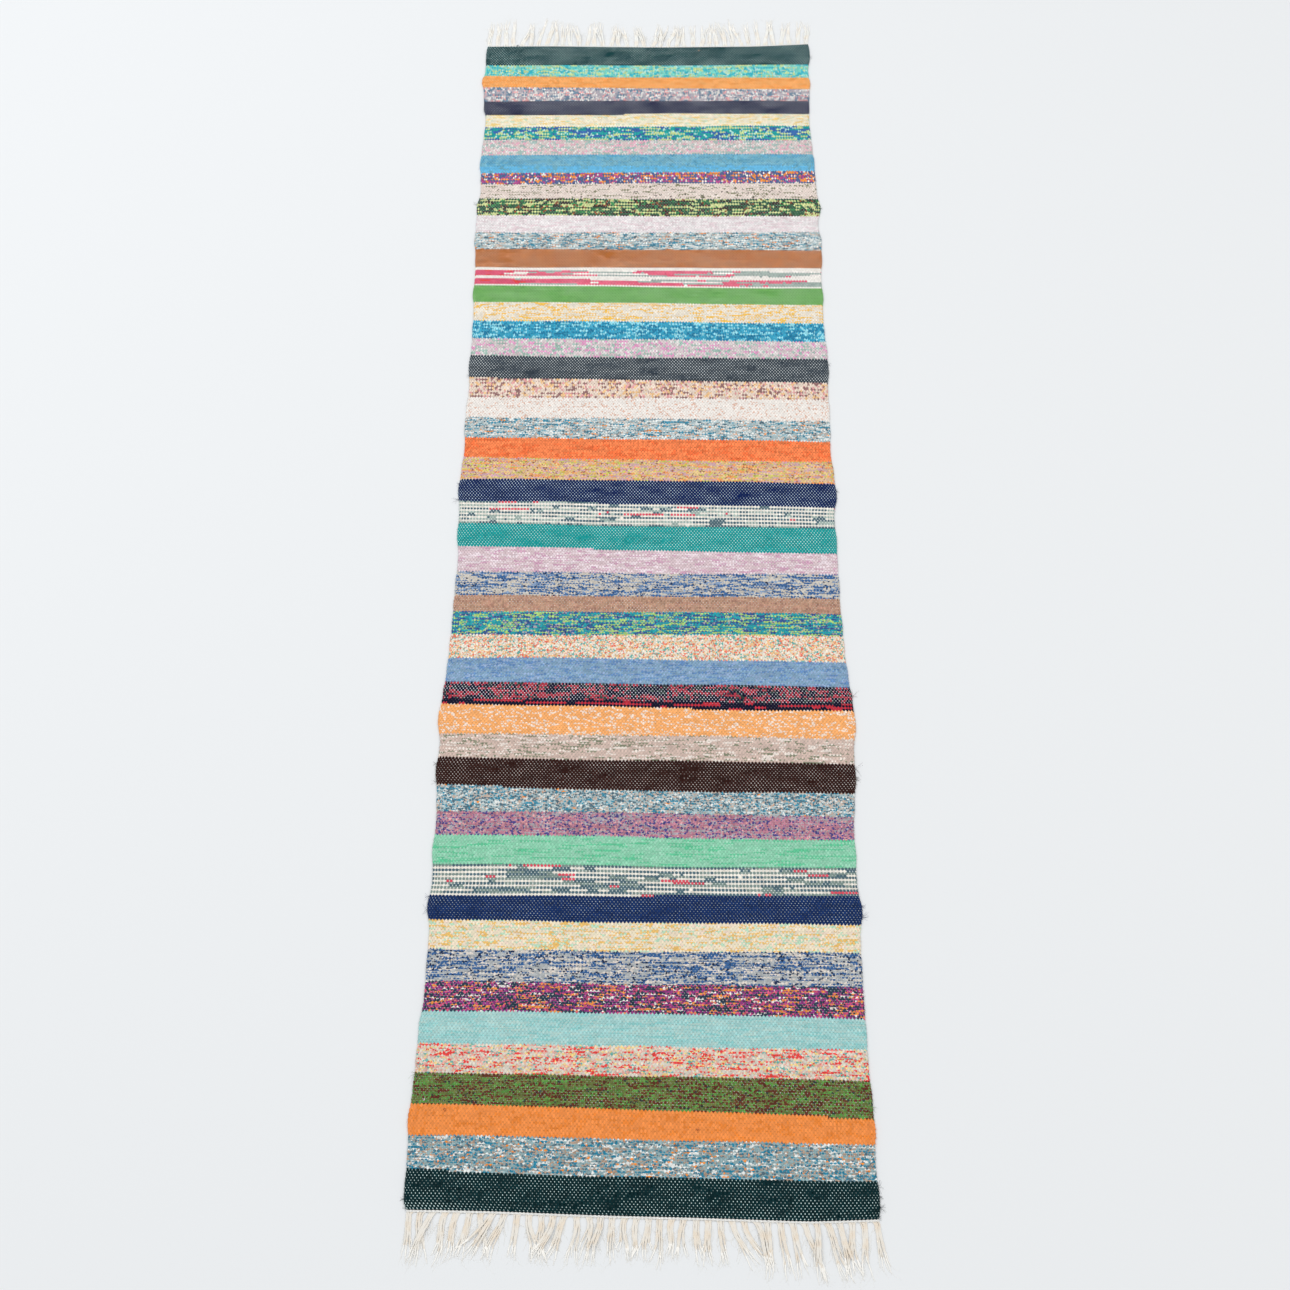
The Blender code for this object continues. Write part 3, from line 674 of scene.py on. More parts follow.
def rag_fleck():
    """Lays runs of one more dye over a rag's colour. They come in patches: rows of the weave where
    the rag happened to fold with that dye outwards."""
    group, given, gives = new_group(
        "rag_fleck", {"Rag": (0.5, 0.5, 0.5, 1), "Fleck": (1, 1, 1, 1), "Thick": 0.5, "Need": 0.5,
                      "Run": 2.0, "Patch": 14.0, "Seed": 0.0, "Along": 0.0, "Across": 0.0,
                      "Strands": 1.0, "Rows": 0.0, "Change": 2.1}, ["Color"])
    along, across, strands, seed = (given[label] for label in ("Along", "Across", "Strands", "Seed"))
    # the strands of one pick lie side by side and wander a little
    wander = cloud(place(along * 0.09, across, 2.0), detail=1.0)
    lane = across + (wander - 0.5) * ((strands - 1.0) * STRAND_WANDER)
    strand = math.floor((lane + 0.5) * strands)
    # one run follows another along each strand, and a draw decides which of them are flecks
    steps = along / given["Run"]
    drift = cloud(place(steps * 0.55, strand * 7.3, seed), detail=1.0)
    run = math.floor(steps + luck(strand, seed, 5.0) * 31.0 + (drift - 0.5) * RUN_DRIFT)
    chance = luck(run, strand, seed)
    clump = cloud(place(along / given["Patch"], strand / strands * given["Change"], seed + 40.5),
                  detail=1.0)
    clump = clump + (strand % 2.0 - 0.5) * given["Rows"]
    folded_out = ease(clump, given["Need"] - PATCH_RIM, given["Need"] + PATCH_RIM)
    feed(gives["Color"], blend(chance < given["Thick"] * folded_out, given["Rag"], given["Fleck"]))
    return group


def cotton_tone():
    """Makes picks, floats and fibres a little lighter and darker than each other, and darkens the
    gaps between floats with painted shade.
    """
    group, given, gives = new_group(
        "cotton_tone", {"Color": (0.5, 0.5, 0.5, 1), "Tone": 0.05, "Along": 0.0, "Across": 0.0,
                        "Pick": 0.0, "Crevice": 0.0, "Depth": 0.4}, ["Color", "Fibre"])
    along, pick = given["Along"], given["Pick"]
    patch = cloud(place(along * 0.07, pick * 0.25, 8.0))
    streak = cloud(place(along * 0.16, given["Across"] * 2.6, 14.0))
    fibre = cloud(rug_place(group), scale=1100.0, detail=3.0) * 0.6 + streak * 0.4
    swing = swings([(luck(pick, 2.0, 9.0), 1.6), (luck(float_of(along, pick), pick, 4.0), 2.0),
                    (luck(round(along), pick, 6.0), 4.5), (patch, 3.5), (fibre, 10.0)])
    shade = swing.sum("MAXIMUM", DARKEST_SHADE, 1.0 + swing * given["Tone"])
    mix = group.nodes.new("ShaderNodeVectorMath")
    mix.operation = "SCALE"
    feed(mix.inputs[0], given["Color"])
    # painted shade: the colour is darkened in the gaps between floats
    feed(mix.inputs["Scale"], shade * (1.0 - given["Crevice"] * given["Depth"]))
    feed(gives["Color"], Value(group, mix.outputs[0]))
    feed(gives["Fibre"], fibre)
    return group


def group_node(tree, name, **settings):
    """One node of a shared group: its inputs are set by label, and its outputs returned by label."""
    node = tree.nodes.new("ShaderNodeGroup")
    node.node_tree = bpy.data.node_groups[name]
    for label, value in settings.items():
        feed(node.inputs[label.replace("_", " ")], value)
    return {socket.name: Value(tree, socket) for socket in node.outputs}


# ------------------------------------------------------------------ materials

def cotton_shader(name, roughness, sheen):
    """A new material with a Principled shader set up for cotton."""
    material = bpy.data.materials.new(name)
    material.use_nodes = True
    shader = material.node_tree.nodes["Principled BSDF"]
    shader.inputs["Roughness"].default_value = roughness
    shader.inputs["Specular IOR Level"].default_value = 0.10
    shader.inputs["Sheen Weight"].default_value = sheen
    shader.inputs["Sheen Roughness"].default_value = 0.6
    return material, material.node_tree, shader


def bump(shader, height, distance, strength):
    node = height.tree.nodes.new("ShaderNodeBump")
    node.inputs["Distance"].default_value = distance
    node.inputs["Strength"].default_value = strength
    feed(node.inputs["Height"], height)
    feed(shader.inputs["Normal"], Value(height.tree, node.outputs["Normal"]))


def yarn_material(name, yarn, seed):
    """One rag: its ground dye, its flecks, the warp that shows through and the round of its picks."""
    material, tree, shader = cotton_shader("yarn_" + name.replace(" ", "_"), 0.92, 0.03)
    grid = group_node(tree, "weave_grid", Warp_Show=yarn.warp, Dot_Luck=yarn.luck, Dot_Size=yarn.dot)
    ground = linear(yarn.ground)
    colour = ground
    for number, (dye, share, run, *patches) in enumerate(yarn.flecks):
        usual = [PATCH, min(0.85, share * PATCH_THICK), 0.0, PATCH_CHANGE]
        patch, thick, rows, change = patches + usual[len(patches):]
        need = CLOUD_MIDDLE + CLOUD_SPREAD * NormalDist().inv_cdf(1 - min(0.97, share / thick))
        colour = group_node(
            tree, "rag_fleck", Rag=colour, Fleck=linear(dye), Thick=thick, Need=need, Run=run,
            Patch=patch, Seed=seed * SEEDS_PER_YARN + number, Across=grid["Across"],
            Along=grid["Float" if yarn.whole else "Along"], Strands=yarn.strands, Rows=rows,
            Change=change)["Color"]
    # painted shade in the gaps between floats, weaker in paler rags
    toned = group_node(
        tree, "cotton_tone", Color=colour, Tone=yarn.tone, Along=grid["Along"], Across=grid["Across"],
        Pick=grid["Pick"], Crevice=grid["Crevice"],
        Depth=yarn.gap * (DEEP_CREVICE_SHADE - PALE_CREVICE_SHADE * ground[1]))
    brightest = max(ground[:3])
    stained = [warp * (dye / brightest) ** WARP_STAIN for warp, dye in zip(linear("warp")[:3], ground)]
    feed(shader.inputs["Base Color"], blend(grid["Warp Dot"], toned["Color"], (*stained, 1.0)))
    feed(shader.inputs["Roughness"], toned["Fibre"] * 0.2 + 0.82)
    bump(shader, grid["Height"] + toned["Fibre"] * 0.12, 1.2 * MM, 0.55)
    return material


def cord_material(name, pale, shade):
    """The loose warp ends: undyed cotton, plied, so that its strands wind round the cord."""
    material, tree, shader = cotton_shader(name, 0.9, 0.4)
    around, along = weave_place(tree)
    twist = around * (4 * math.pi) + along * (2 * math.pi)
    ply = twist.sum("SINE", twist) * 0.5 + 0.5
    fibre = cloud(rug_place(tree), scale=900.0, detail=3.0)
    patch = cloud(rug_place(tree), scale=60.0)
    # darker in the grooves between the plies, where the bump is low: painted shade; the patches of a
    # warmer tint are the cotton's own
    mixed = blend(ply * 0.3 + ease(patch, 0.3, 0.7), linear(shade), linear(pale))
    feed(shader.inputs["Base Color"], mixed)
    bump(shader, ply + fibre * 0.4, 0.4 * MM, 0.15)
    return material


def fuzz_material(name, yarn):
    """Loose fibres of one rag, in its own dyes."""
    material, tree, shader = cotton_shader("fuzz_" + name.replace(" ", "_"), 0.95, 0.1)
    second = yarn.flecks[0][0] if yarn.flecks else yarn.ground
    patch = ease(cloud(rug_place(tree), scale=350.0), 0.4, 0.6)
    feed(shader.inputs["Base Color"], blend(patch, linear(yarn.ground), linear(second)))
    return material


def lint_material():
    """Single cotton fibres, which let so much light through that they look nearly white."""
    material, _, shader = cotton_shader("cotton_fibres", 0.95, 0.0)
    shader.inputs["Base Color"].default_value = linear("fibre")
    return material


def floor_material():
    """A plain pale studio floor."""
    material, _, shader = cotton_shader("studio_floor", 0.9, 0.0)
    shader.inputs["Base Color"].default_value = FLOOR_COLOUR
    return material


# ------------------------------------------------------------------ the plan of the web

def hump(share):
    """0 at both ends of a span and 1 at its middle."""
    return np.sin(np.pi * share)


def far_bow(share):
    """The far end is nearly straight, and its right corner is pulled out."""
    lift = np.clip((share - FAR_CORNER_START) / (1 - FAR_CORNER_START), 0, None) ** 1.5
    return FAR_CORNER_LIFT * lift + FAR_RIPPLE * np.sin(FAR_RIPPLE_TURN * share)


def near_bow(share):
    """The near end sags most at three quarters of the way to the right."""
    sag = np.exp(-((share - NEAR_SAG_PLACE) / NEAR_SAG_SPREAD) ** 2)
    lift = np.clip((share - NEAR_CORNER_START) / (1 - NEAR_CORNER_START), 0, 1)
    return -NEAR_SAG * sag + NEAR_RIPPLE * np.sin(NEAR_RIPPLE_TURN * share) + NEAR_CORNER_LIFT * lift


def end_shares():
    """Where each warp end lies across the web: a little closer together at the selvedges."""
    steps = np.ones(ENDS)
    steps[:CROWDED_ENDS] = steps[-CROWDED_ENDS:] = CROWDING
    places = np.concatenate([[0], np.cumsum(steps)])
    return places / places[-1]


class Web:
    """Turns weave coordinates into places on the floor."""

    def __init__(self):
        rng = np.random.default_rng(WEB_SEED)
        depths = np.array([band.depth for band in BANDS]) * MM
        self.picks = np.round(depths / PICK_PITCH).astype(int)
        self.starts = np.concatenate([[0], np.cumsum(self.picks)])
        self.total = int(self.starts[-1])
        self.lines = depths.sum() / 2 - np.concatenate([[0], np.cumsum(depths)])
        self.slants = np.array([FAR_SLANT] + [band.slant * MM for band in BANDS])
        self.beat = rng.uniform(-BEAT, BEAT, self.total + 1) * PICK_PITCH
        self.beat[self.starts] = 0
        waves = (len(BANDS) + 1, len(SWAYS))
        self.phase = rng.uniform(0, 2 * np.pi, waves)
        self.sway = np.array([size for _, size in SWAYS]) * rng.uniform(0.5, 1.2, waves)
        self.sway[[0, -1]] = 0
        self.end_wander = rng.uniform(0, 2 * np.pi, ENDS + 1)
        rows = 2 * (self.total + 2 * HEADING_PICKS) + 1
        self.rough = rng.uniform(-ROUGHNESS, ROUGHNESS, (rows, ENDS + 1)) * MM
        self.swell = np.full(self.total + 2 * HEADING_PICKS, LOOSE_SWELL)
        self.shift = np.zeros(3)

    def edges(self, rows):
        """How far the left and right selvedges lie from the middle, at each row."""
        inside = np.clip(rows, 0, self.total - 1e-6)
        index = np.searchsorted(self.starts, inside, side="right") - 1
        share = (inside - self.starts[index]) / self.picks[index]
        draw_in = PINCH * (1.0 - PINCH_SWELL * hump(share))
        far_corner = np.clip(1 - inside / CORNER_PICKS, 0, 1) ** 1.5
        near_corner = np.clip(1 - (self.total - inside) / CORNER_PICKS, 0, 1) ** 1.5
        mix = np.minimum(1.0, 0.5 + share * WIDTH_CHANGE)
        late = np.maximum(0.0, (share - 2 / 3) * WIDTH_CHANGE)
        sides = []
        for side, far_in, near_in in zip(("left", "right"), FAR_CORNERS_IN, NEAR_CORNERS_IN):
            table = np.array([getattr(band, side) for band in BANDS]) * MM
            before = table[np.maximum(index - 1, 0)]
            after = table[np.minimum(index + 1, len(BANDS) - 1)]
            width = before * (1 - mix) + table[index] * mix
            corners = far_corner * far_in + near_corner * near_in
            sides.append(width * (1 - late) + after * late - draw_in - corners)
        return sides

    def along(self, rows, shares):
        """y at each row (down) and share of the width (across). Rows past the ends are heading."""
        inside = np.clip(rows, 0, self.total)
        heading = (rows - inside) * -HEADING_PITCH
        y = np.interp(inside, self.starts, self.lines)
        y = y + np.interp(inside, np.arange(self.total + 1), self.beat)
        slant = np.interp(inside, self.starts, self.slants)
        y = (y + heading)[:, None] - slant[:, None] * (shares[None, :] - 0.5)
        y += far_bow(shares)[None, :] * np.exp(-inside / BOW_FADE)[:, None]
        y += near_bow(shares)[None, :] * np.exp(-(self.total - inside) / BOW_FADE)[:, None]
        low = np.searchsorted(self.starts, inside, side="right").clip(1, len(BANDS)) - 1
        mix = ((inside - self.starts[low]) / np.diff(self.starts)[low])[:, None]
        for k, (waves, _) in enumerate(SWAYS):
            size = np.interp(inside, self.starts, self.sway[:, k])[:, None]
            before, after = (np.sin(2 * np.pi * waves * shares[None, :] + self.phase[line, k][:, None])
                             for line in (low, low + 1))
            y += size * (before * (1 - mix) + after * mix)
        return y


def yarn_of_pick(web):
    """The yarn of every face of the web, by pick (down) and step between ends (across)."""
    names = sorted(YARNS)
    rng = np.random.default_rng(YARN_SEED)
    chart = np.zeros((web.total, ENDS), dtype=int)
    shares = (np.arange(ENDS) + 0.5) / ENDS
    for number, band in enumerate(BANDS):
        first, count = web.starts[number], web.picks[number]
        parts = MIXED_BANDS.get(band.yarn, [(band.yarn, 1.0)])
        bounds = np.round(np.cumsum([share for _, share in parts]) * count).astype(int)
        start = 0
        for (yarn, _), stop in zip(parts, bounds):
            chart[first + start:first + stop] = names.index(yarn)
            plain, until, wander = PLAIN_STARTS.get(yarn, (yarn, 0.0, 0.0))
            for row in range(first + start, first + stop):
                chart[row, shares < until + rng.uniform(-wander, wander)] = names.index(plain)
            start = stop
    for number, band in enumerate(BANDS[:-1]):
        if band.yarn in JOINS:
            share, side = JOINS[band.yarn]
            next_pick = web.starts[number + 1]
            longer = shares < share if side == "left" else shares > share
            chart[next_pick, longer] = chart[next_pick - 1, longer]
    return names, chart


# ------------------------------------------------------------------ the woven pieces

def finished_mesh(name, points, faces, charts, slots, materials, smooth_faces=None):
    """A mesh object from lists of faces, with its UV maps and materials. Faces are smooth, or only
    the first of them."""
    sizes = np.concatenate([np.full(len(block), block.shape[1]) for block in faces])
    corners = np.concatenate([block.ravel() for block in faces])
    mesh = bpy.data.meshes.new(name)
    mesh.vertices.add(len(points))
    mesh.vertices.foreach_set("co", np.ascontiguousarray(points, dtype=np.float32).ravel())
    mesh.loops.add(len(corners))
    mesh.loops.foreach_set("vertex_index", corners.astype(np.int32))
    mesh.polygons.add(len(sizes))
    mesh.polygons.foreach_set("loop_start", np.concatenate([[0], np.cumsum(sizes)[:-1]]).astype(np.int32))
    for material in materials:
        mesh.materials.append(material)
    mesh.polygons.foreach_set("material_index", slots.astype(np.int32))
    mesh.polygons.foreach_set("use_smooth", np.arange(len(sizes)) < (smooth_faces or len(sizes)))
    for label, values in charts.items():
        layer = mesh.uv_layers.new(name=label)
        layer.data.foreach_set("uv", np.ascontiguousarray(values, dtype=np.float32).ravel())
    mesh.update(calc_edges=True)
    mesh.validate()
    piece = bpy.data.objects.new(name, mesh)
    bpy.context.scene.collection.objects.link(piece)
    return piece


def squares(number):
    """The faces of a grid of numbered points."""
    corners = [number[:-1, :-1], number[1:, :-1], number[1:, 1:], number[:-1, 1:]]
    return np.stack(corners, 2).reshape(-1, 4)


def chart_of(across, down):
    """A chart place for each point of a grid, row by row."""
    return np.stack(np.broadcast_arrays(across[None, :], down[:, None]), 2).reshape(-1, 2)


def web_surface(web, first, count, drop):
    """The upper side of a length of the web, down to the floor at both selvedges: how many picks
    from the far end each row lies, and an array row, column, (x, y, z)."""
    rows = 2 * count + 1
    level = first + np.arange(rows) / 2
    on_pick = np.arange(rows) % 2 == 1              # the other rows lie between two picks
    shares = end_shares()
    left, right = web.edges(level)
    y = web.along(level, shares)
    x = -left[:, None] + SELVEDGE_INSET + shares[None, :] * (left + right - 2 * SELVEDGE_INSET)[:, None]
    wander = np.sin(level[:, None] / WANDER_PICKS + web.end_wander[None, :])
    x += END_WANDER * wander * hump(shares)[None, :]
    pick = np.floor(level - 0.25).astype(int)       # of two picks that meet, the far one
    over = (np.arange(ENDS + 1)[None, :] + pick[:, None]) % 2 == 0
    near = np.clip((level + HEADING_PICKS).astype(int), 1, len(web.swell) - 1)
    swell = (web.swell[near] + web.swell[near - 1]) / 2 * (PICK_PITCH if drop == 0 else HEADING_PITCH)
    y = y + np.where(on_pick, 0.0, swell)[:, None] * np.where(over, -1, 1)
    z = np.where(on_pick[:, None], np.where(over, FLOAT_HEIGHT, DIP_HEIGHT), SIDE_HEIGHT) - drop
    z = z + web.rough[2 * (first + HEADING_PICKS):][:rows]
    # the weft turns round the outermost end every second pick, by turns at the left and the right
    turns_left = np.abs(level - 2 * np.floor((level + 0.5) / 2)) < 0.75
    bulge_left = np.where(turns_left, TURN_BULGE, -TURN_HOLLOW)
    bulge_right = np.where(turns_left, -TURN_HOLLOW, TURN_BULGE)
    turn_z = np.full(rows, TURN_HEIGHT * (1 - drop / FLOAT_HEIGHT))
    columns = [(FOOT_INSET - left, y[:, 0], np.zeros(rows)), (-left - bulge_left, y[:, 0], turn_z),
               (right + bulge_right, y[:, -1], turn_z), (right - FOOT_INSET, y[:, -1], np.zeros(rows))]
    sides = [np.stack(column, 1)[:, None] for column in columns]
    return level, np.concatenate([*sides[:2], np.stack([x, y, z], 2), *sides[2:]], 1)


def woven_piece(name, web, first, count, drop, yarn_slots, materials):
    """A length of the web, count picks long: every crossing raised, closed by plain underside faces."""
    level, grid = web_surface(web, first, count, drop)
    rows, columns = grid.shape[:2]
    ends, coarse = np.arange(ENDS + 1), np.arange(0, ENDS + 1, UNDERSIDE_ENDS)
    sole = grid[::2, np.concatenate([[0], 2 + coarse[1:-1], [columns - 1]])]
    below = np.concatenate([part.reshape(-1, 3) for part in (grid[0, 2:-2], grid[-1, 2:-2], sole)])
    points = np.concatenate([grid.reshape(-1, 3), below * [1, 1, 0]]) + web.shift
    number = np.arange(rows * columns).reshape(rows, columns)
    far_foot = rows * columns + ends
    near_foot = far_foot + ENDS + 1
    underside = near_foot[-1] + 1 + np.arange(sole.size // 3).reshape(count + 1, -1)
    far_top, near_top = number[0, 2:-2], number[-1, 2:-2]
    far_wall = np.stack([far_top[:-1], far_top[1:], far_foot[1:], far_foot[:-1]], 1)
    near_wall = np.stack([near_top[1:], near_top[:-1], near_foot[:-1], near_foot[1:]], 1)
    corners = np.array([
        [number[0, 0], number[0, 1], number[0, 2], far_foot[0]],
        [far_foot[-1], number[0, -3], number[0, -2], number[0, -1]],
        [near_foot[0], number[-1, 2], number[-1, 1], number[-1, 0]],
        [number[-1, -1], number[-1, -2], number[-1, -3], near_foot[-1]],
    ])
    faces = [squares(number), squares(underside)[:, [0, 3, 2, 1]], far_wall, near_wall, corners]
    # weave coordinates: end number and pick number, with half a pick between rows
    picks = level - 0.5
    weave_at = np.concatenate([chart_of(np.arange(-2.0, ENDS + 3), picks), chart_of(ends, picks[:1]),
                               chart_of(ends, picks[-1:]), chart_of(coarse, picks[::2])])
    # the map for baking: the top fills most of the square, the underside and walls a strip below
    shares = end_shares()
    bake_at = np.concatenate([
        chart_of(np.linspace(0, 1, columns), np.linspace(0, 1, rows)), chart_of(shares, np.zeros(1)),
        chart_of(shares, np.ones(1)), chart_of(coarse / ENDS, np.linspace(0, 1, count + 1))])
    bake = []
    for block, (low, high) in zip(faces, BAKE_STRIPS):
        index = block.ravel()
        v = low + (high - low) * bake_at[index, 1]
        if block is far_wall or block is near_wall:
            v = np.where(index >= rows * columns, low, high)
        bake.append(np.stack([BAKE_EDGE + (1 - 2 * BAKE_EDGE) * bake_at[index, 0], v], 1))
    slots = np.concatenate([
        np.pad(np.repeat(yarn_slots, 2, axis=0), ((0, 0), (2, 2)), mode="edge").ravel(),
        yarn_slots[:, UNDERSIDE_ENDS // 2::UNDERSIDE_ENDS].ravel(),
        yarn_slots[0], yarn_slots[-1], yarn_slots[[0, 0, -1, -1], ENDS // 2]])
    charts = {"weave": np.concatenate([weave_at[block.ravel()] for block in faces]),
              "OFBake": np.concatenate(bake)}
    return finished_mesh(name, points, faces, charts, slots, materials, smooth_faces=len(faces[0]))


# ------------------------------------------------------------------ the fringes

def end_plan(web, table, seed, row):
    """Centre lines of all the loose ends of one fringe, as an array: end, step, (x, y, z)."""
    rng = np.random.default_rng(seed)
    outward = 1 if row < 0 else -1
    level = np.array([float(row)])
    left, right = (side[0] for side in web.edges(level))
    shares, row_y = end_shares(), web.along(level, end_shares())[0]
    middles = (shares[:-1] + shares[1:]) / 2
    root_x = -left + SELVEDGE_INSET + middles * (left + right - 2 * SELVEDGE_INSET)
    root_y = (row_y[:-1] + row_y[1:]) / 2
    pitch = (left + right - 2 * EDGE_BUNDLE_INSET) / (len(table) - 1)
    t = np.linspace(0, 1, END_STEPS)
    gather = np.clip(0.6 + t / 0.06, 0, 1)
    gather = gather * gather * (3 - 2 * gather)
    spread = np.interp(t, *zip(*BUNDLE_PITCHES))
    lines = []
    height = 0.0
    for bundle, lie in enumerate(table):
        middle = -left + EDGE_BUNDLE_INSET + pitch * bundle
        # a bundle that has swung across the one before it lies over it
        crosses = table[max(bundle - 1, 0)].lean - lie.lean > CROSSING_LEAN
        height = OVER_HEIGHT if crosses and height == 0.0 else 0.0
        power = rng.uniform(1.0, 1.45)
        bow = rng.uniform(-3.2, 3.2) * MM * hump(t) + rng.uniform(-2.2, 2.2) * MM * hump(2 * t)
        path = lie.lean * MM * t ** power + bow
        turn = rng.uniform(0, 2 * np.pi)
        twist = rng.uniform(2.0, 5.0) * rng.choice([-1, 1])
        locks = rng.normal(0, 3.8, ENDS_PER_BUNDLE // ENDS_PER_LOCK) * MM
        for k in range(ENDS_PER_BUNDLE):
            end = bundle * ENDS_PER_BUNDLE + k
            roll = turn + k * TURN_PER_END + twist * t
            fan = locks[k // ENDS_PER_LOCK] * np.clip((t - 0.25) / 0.75, 0, 1) ** 1.3
            fan = fan + rng.normal(0, 1.8) * MM * np.clip((t - 0.55) / 0.45, 0, 1) ** 1.6
            crimp = 0.35 * MM * np.sin(t * rng.uniform(26, 40) + rng.uniform(0, 6))
            lies = middle + path + (k - (ENDS_PER_BUNDLE - 1) / 2) * spread + 0.8 * MM * np.sin(roll) + fan
            reach = lie.length * MM * rng.uniform(0.72, 1.0)
            pile = (0.3 + 0.3 * np.cos(roll)) * MM * np.interp(t, [0, 0.3, 0.7, 1.0], [0.4, 1, 1, 0.15])
            on_floor = END_RADIUS * END_HEIGHT * 1.05 + pile + height * hump(np.clip(t * 1.1, 0, 1))
            lines.append(np.stack([
                root_x[end] * (1 - gather) + gather * lies + crimp,
                root_y[end] + outward * (reach * t - ROOT_DEPTH),
                ROOT_HEIGHT * (1 - gather) + gather * on_floor], 1))
    return np.array(lines), rng.uniform(0.85, 1.12, len(lines))


def cords(lines, radii, sides, height=1.0):
    """Tubes round centre lines: points, quads, end caps and their UV (round, along in plies)."""
    count, steps, _ = lines.shape
    way = np.gradient(lines, axis=1)
    way /= np.linalg.norm(way, axis=2, keepdims=True)
    across = np.cross(way, np.array([0.0, 0.0, 1.0]))
    across /= np.linalg.norm(across, axis=2, keepdims=True)
    up = np.cross(across, way)
    turn = (np.arange(sides) / sides * 2 * np.pi)[None, None, :, None]
    ring = np.cos(turn) * across[:, :, None, :] + np.sin(turn) * up[:, :, None, :] * height
    points = lines[:, :, None, :] + ring * radii[:, :, None, None]
    number = np.arange(count * steps * sides).reshape(count, steps, sides)
    after = np.roll(number, -1, axis=2)
    quads = np.stack([number[:, :-1], after[:, :-1], after[:, 1:], number[:, 1:]], 3).reshape(-1, 4)
    caps = np.concatenate([number[:, 0, ::-1], number[:, -1]]).reshape(-1, sides)
    length = np.cumsum(np.linalg.norm(np.diff(lines, axis=1), axis=2), 1)
    along = np.concatenate([np.zeros((count, 1)), length], 1)[:, :, None] / PLY_LENGTH
    u = np.broadcast_to(np.arange(sides) / sides, number[:, :-1].shape)
    v, v_next = (np.broadcast_to(part, u.shape) for part in (along[:, :-1], along[:, 1:]))
    round_uv = np.stack([u, u + 1 / sides, u + 1 / sides, u], 3)
    along_uv = np.stack([v, v, v_next, v_next], 3)
    uv = np.concatenate([np.stack([round_uv, along_uv], 4).reshape(-1, 2), np.zeros((caps.size, 2))])
    return points.reshape(-1, 3), [quads, caps], uv


def frayed_fibres(lines, rng):
    """Fibres that come loose near the tips, and stray ones all over a fringe: lines and radii."""
    steps = np.linspace(0, 1, FIBRE_STEPS)
    hairs, radii = [], []
    for line in lines:
        way = (line[-1] - line[-4])[:2] / np.linalg.norm((line[-1] - line[-4])[:2])
        for _ in range(HAIRS_PER_END):
            start = line[rng.integers(-4, -1)]
            reach = rng.uniform(8, 20) * MM
            bend = rng.normal(0, 0.45) * steps ** 2 + rng.normal(0, 0.3) * steps
            flat = start[:2] + reach * (way * steps[:, None] + np.array([-way[1], way[0]]) * bend[:, None])
            z = start[2] + (FIBRE_HEIGHT - start[2]) * np.minimum(1, steps * 1.6)
            hairs.append(np.column_stack([flat, z]))
            radii.append(np.linspace(0.17, 0.05, FIBRE_STEPS) * MM)
    for line in lines[rng.integers(0, len(lines), STRAY_FIBRES)]:
        x, y, z = line[rng.integers(1, 8)]
        out = np.sign(line[-1, 1] - line[0, 1])
        reach = rng.uniform(10, 34) * MM
        side = rng.normal(0, 5) * MM * steps + rng.normal(0, 4) * MM * hump(steps)
        hairs.append(np.stack([x + side, y + out * reach * steps,
                               FIBRE_HEIGHT + (z - FIBRE_HEIGHT) * (1 - steps)], 1))
        radii.append(np.linspace(0.32, 0.15, FIBRE_STEPS) * MM)
    return np.array(hairs), np.array(radii)


def fringe_piece(name, web, table, seed, row, materials):
    """All the loose warp ends of one end of the rug, with frayed fibres at their tips."""
    lines, weights = end_plan(web, table, seed, row)
    taper = np.interp(np.linspace(0, 1, END_STEPS), *zip(*END_TAPER))
    radii = END_RADIUS * weights[:, None] * taper[None, :]
    points, faces, uv = cords(lines + web.shift, radii, END_SIDES, END_HEIGHT)
    hairs, hair_radii = frayed_fibres(lines, np.random.default_rng(seed + 7))
    more_points, more_faces, more_uv = cords(hairs + web.shift, hair_radii, 4, 0.5)
    more_faces = [block + len(points) for block in more_faces]
    # the frayed tips take the near-white fibre material: painted light
    paled = np.tile(np.repeat(np.arange(END_STEPS - 1) >= PALE_FROM_STEP, END_SIDES), len(lines))
    slots = np.concatenate([paled, np.zeros(len(faces[1])), np.ones(sum(map(len, more_faces)))])
    return finished_mesh(name, np.concatenate([points, more_points]), faces + more_faces,
                         {"weave": np.concatenate([uv, more_uv])}, slots, materials)


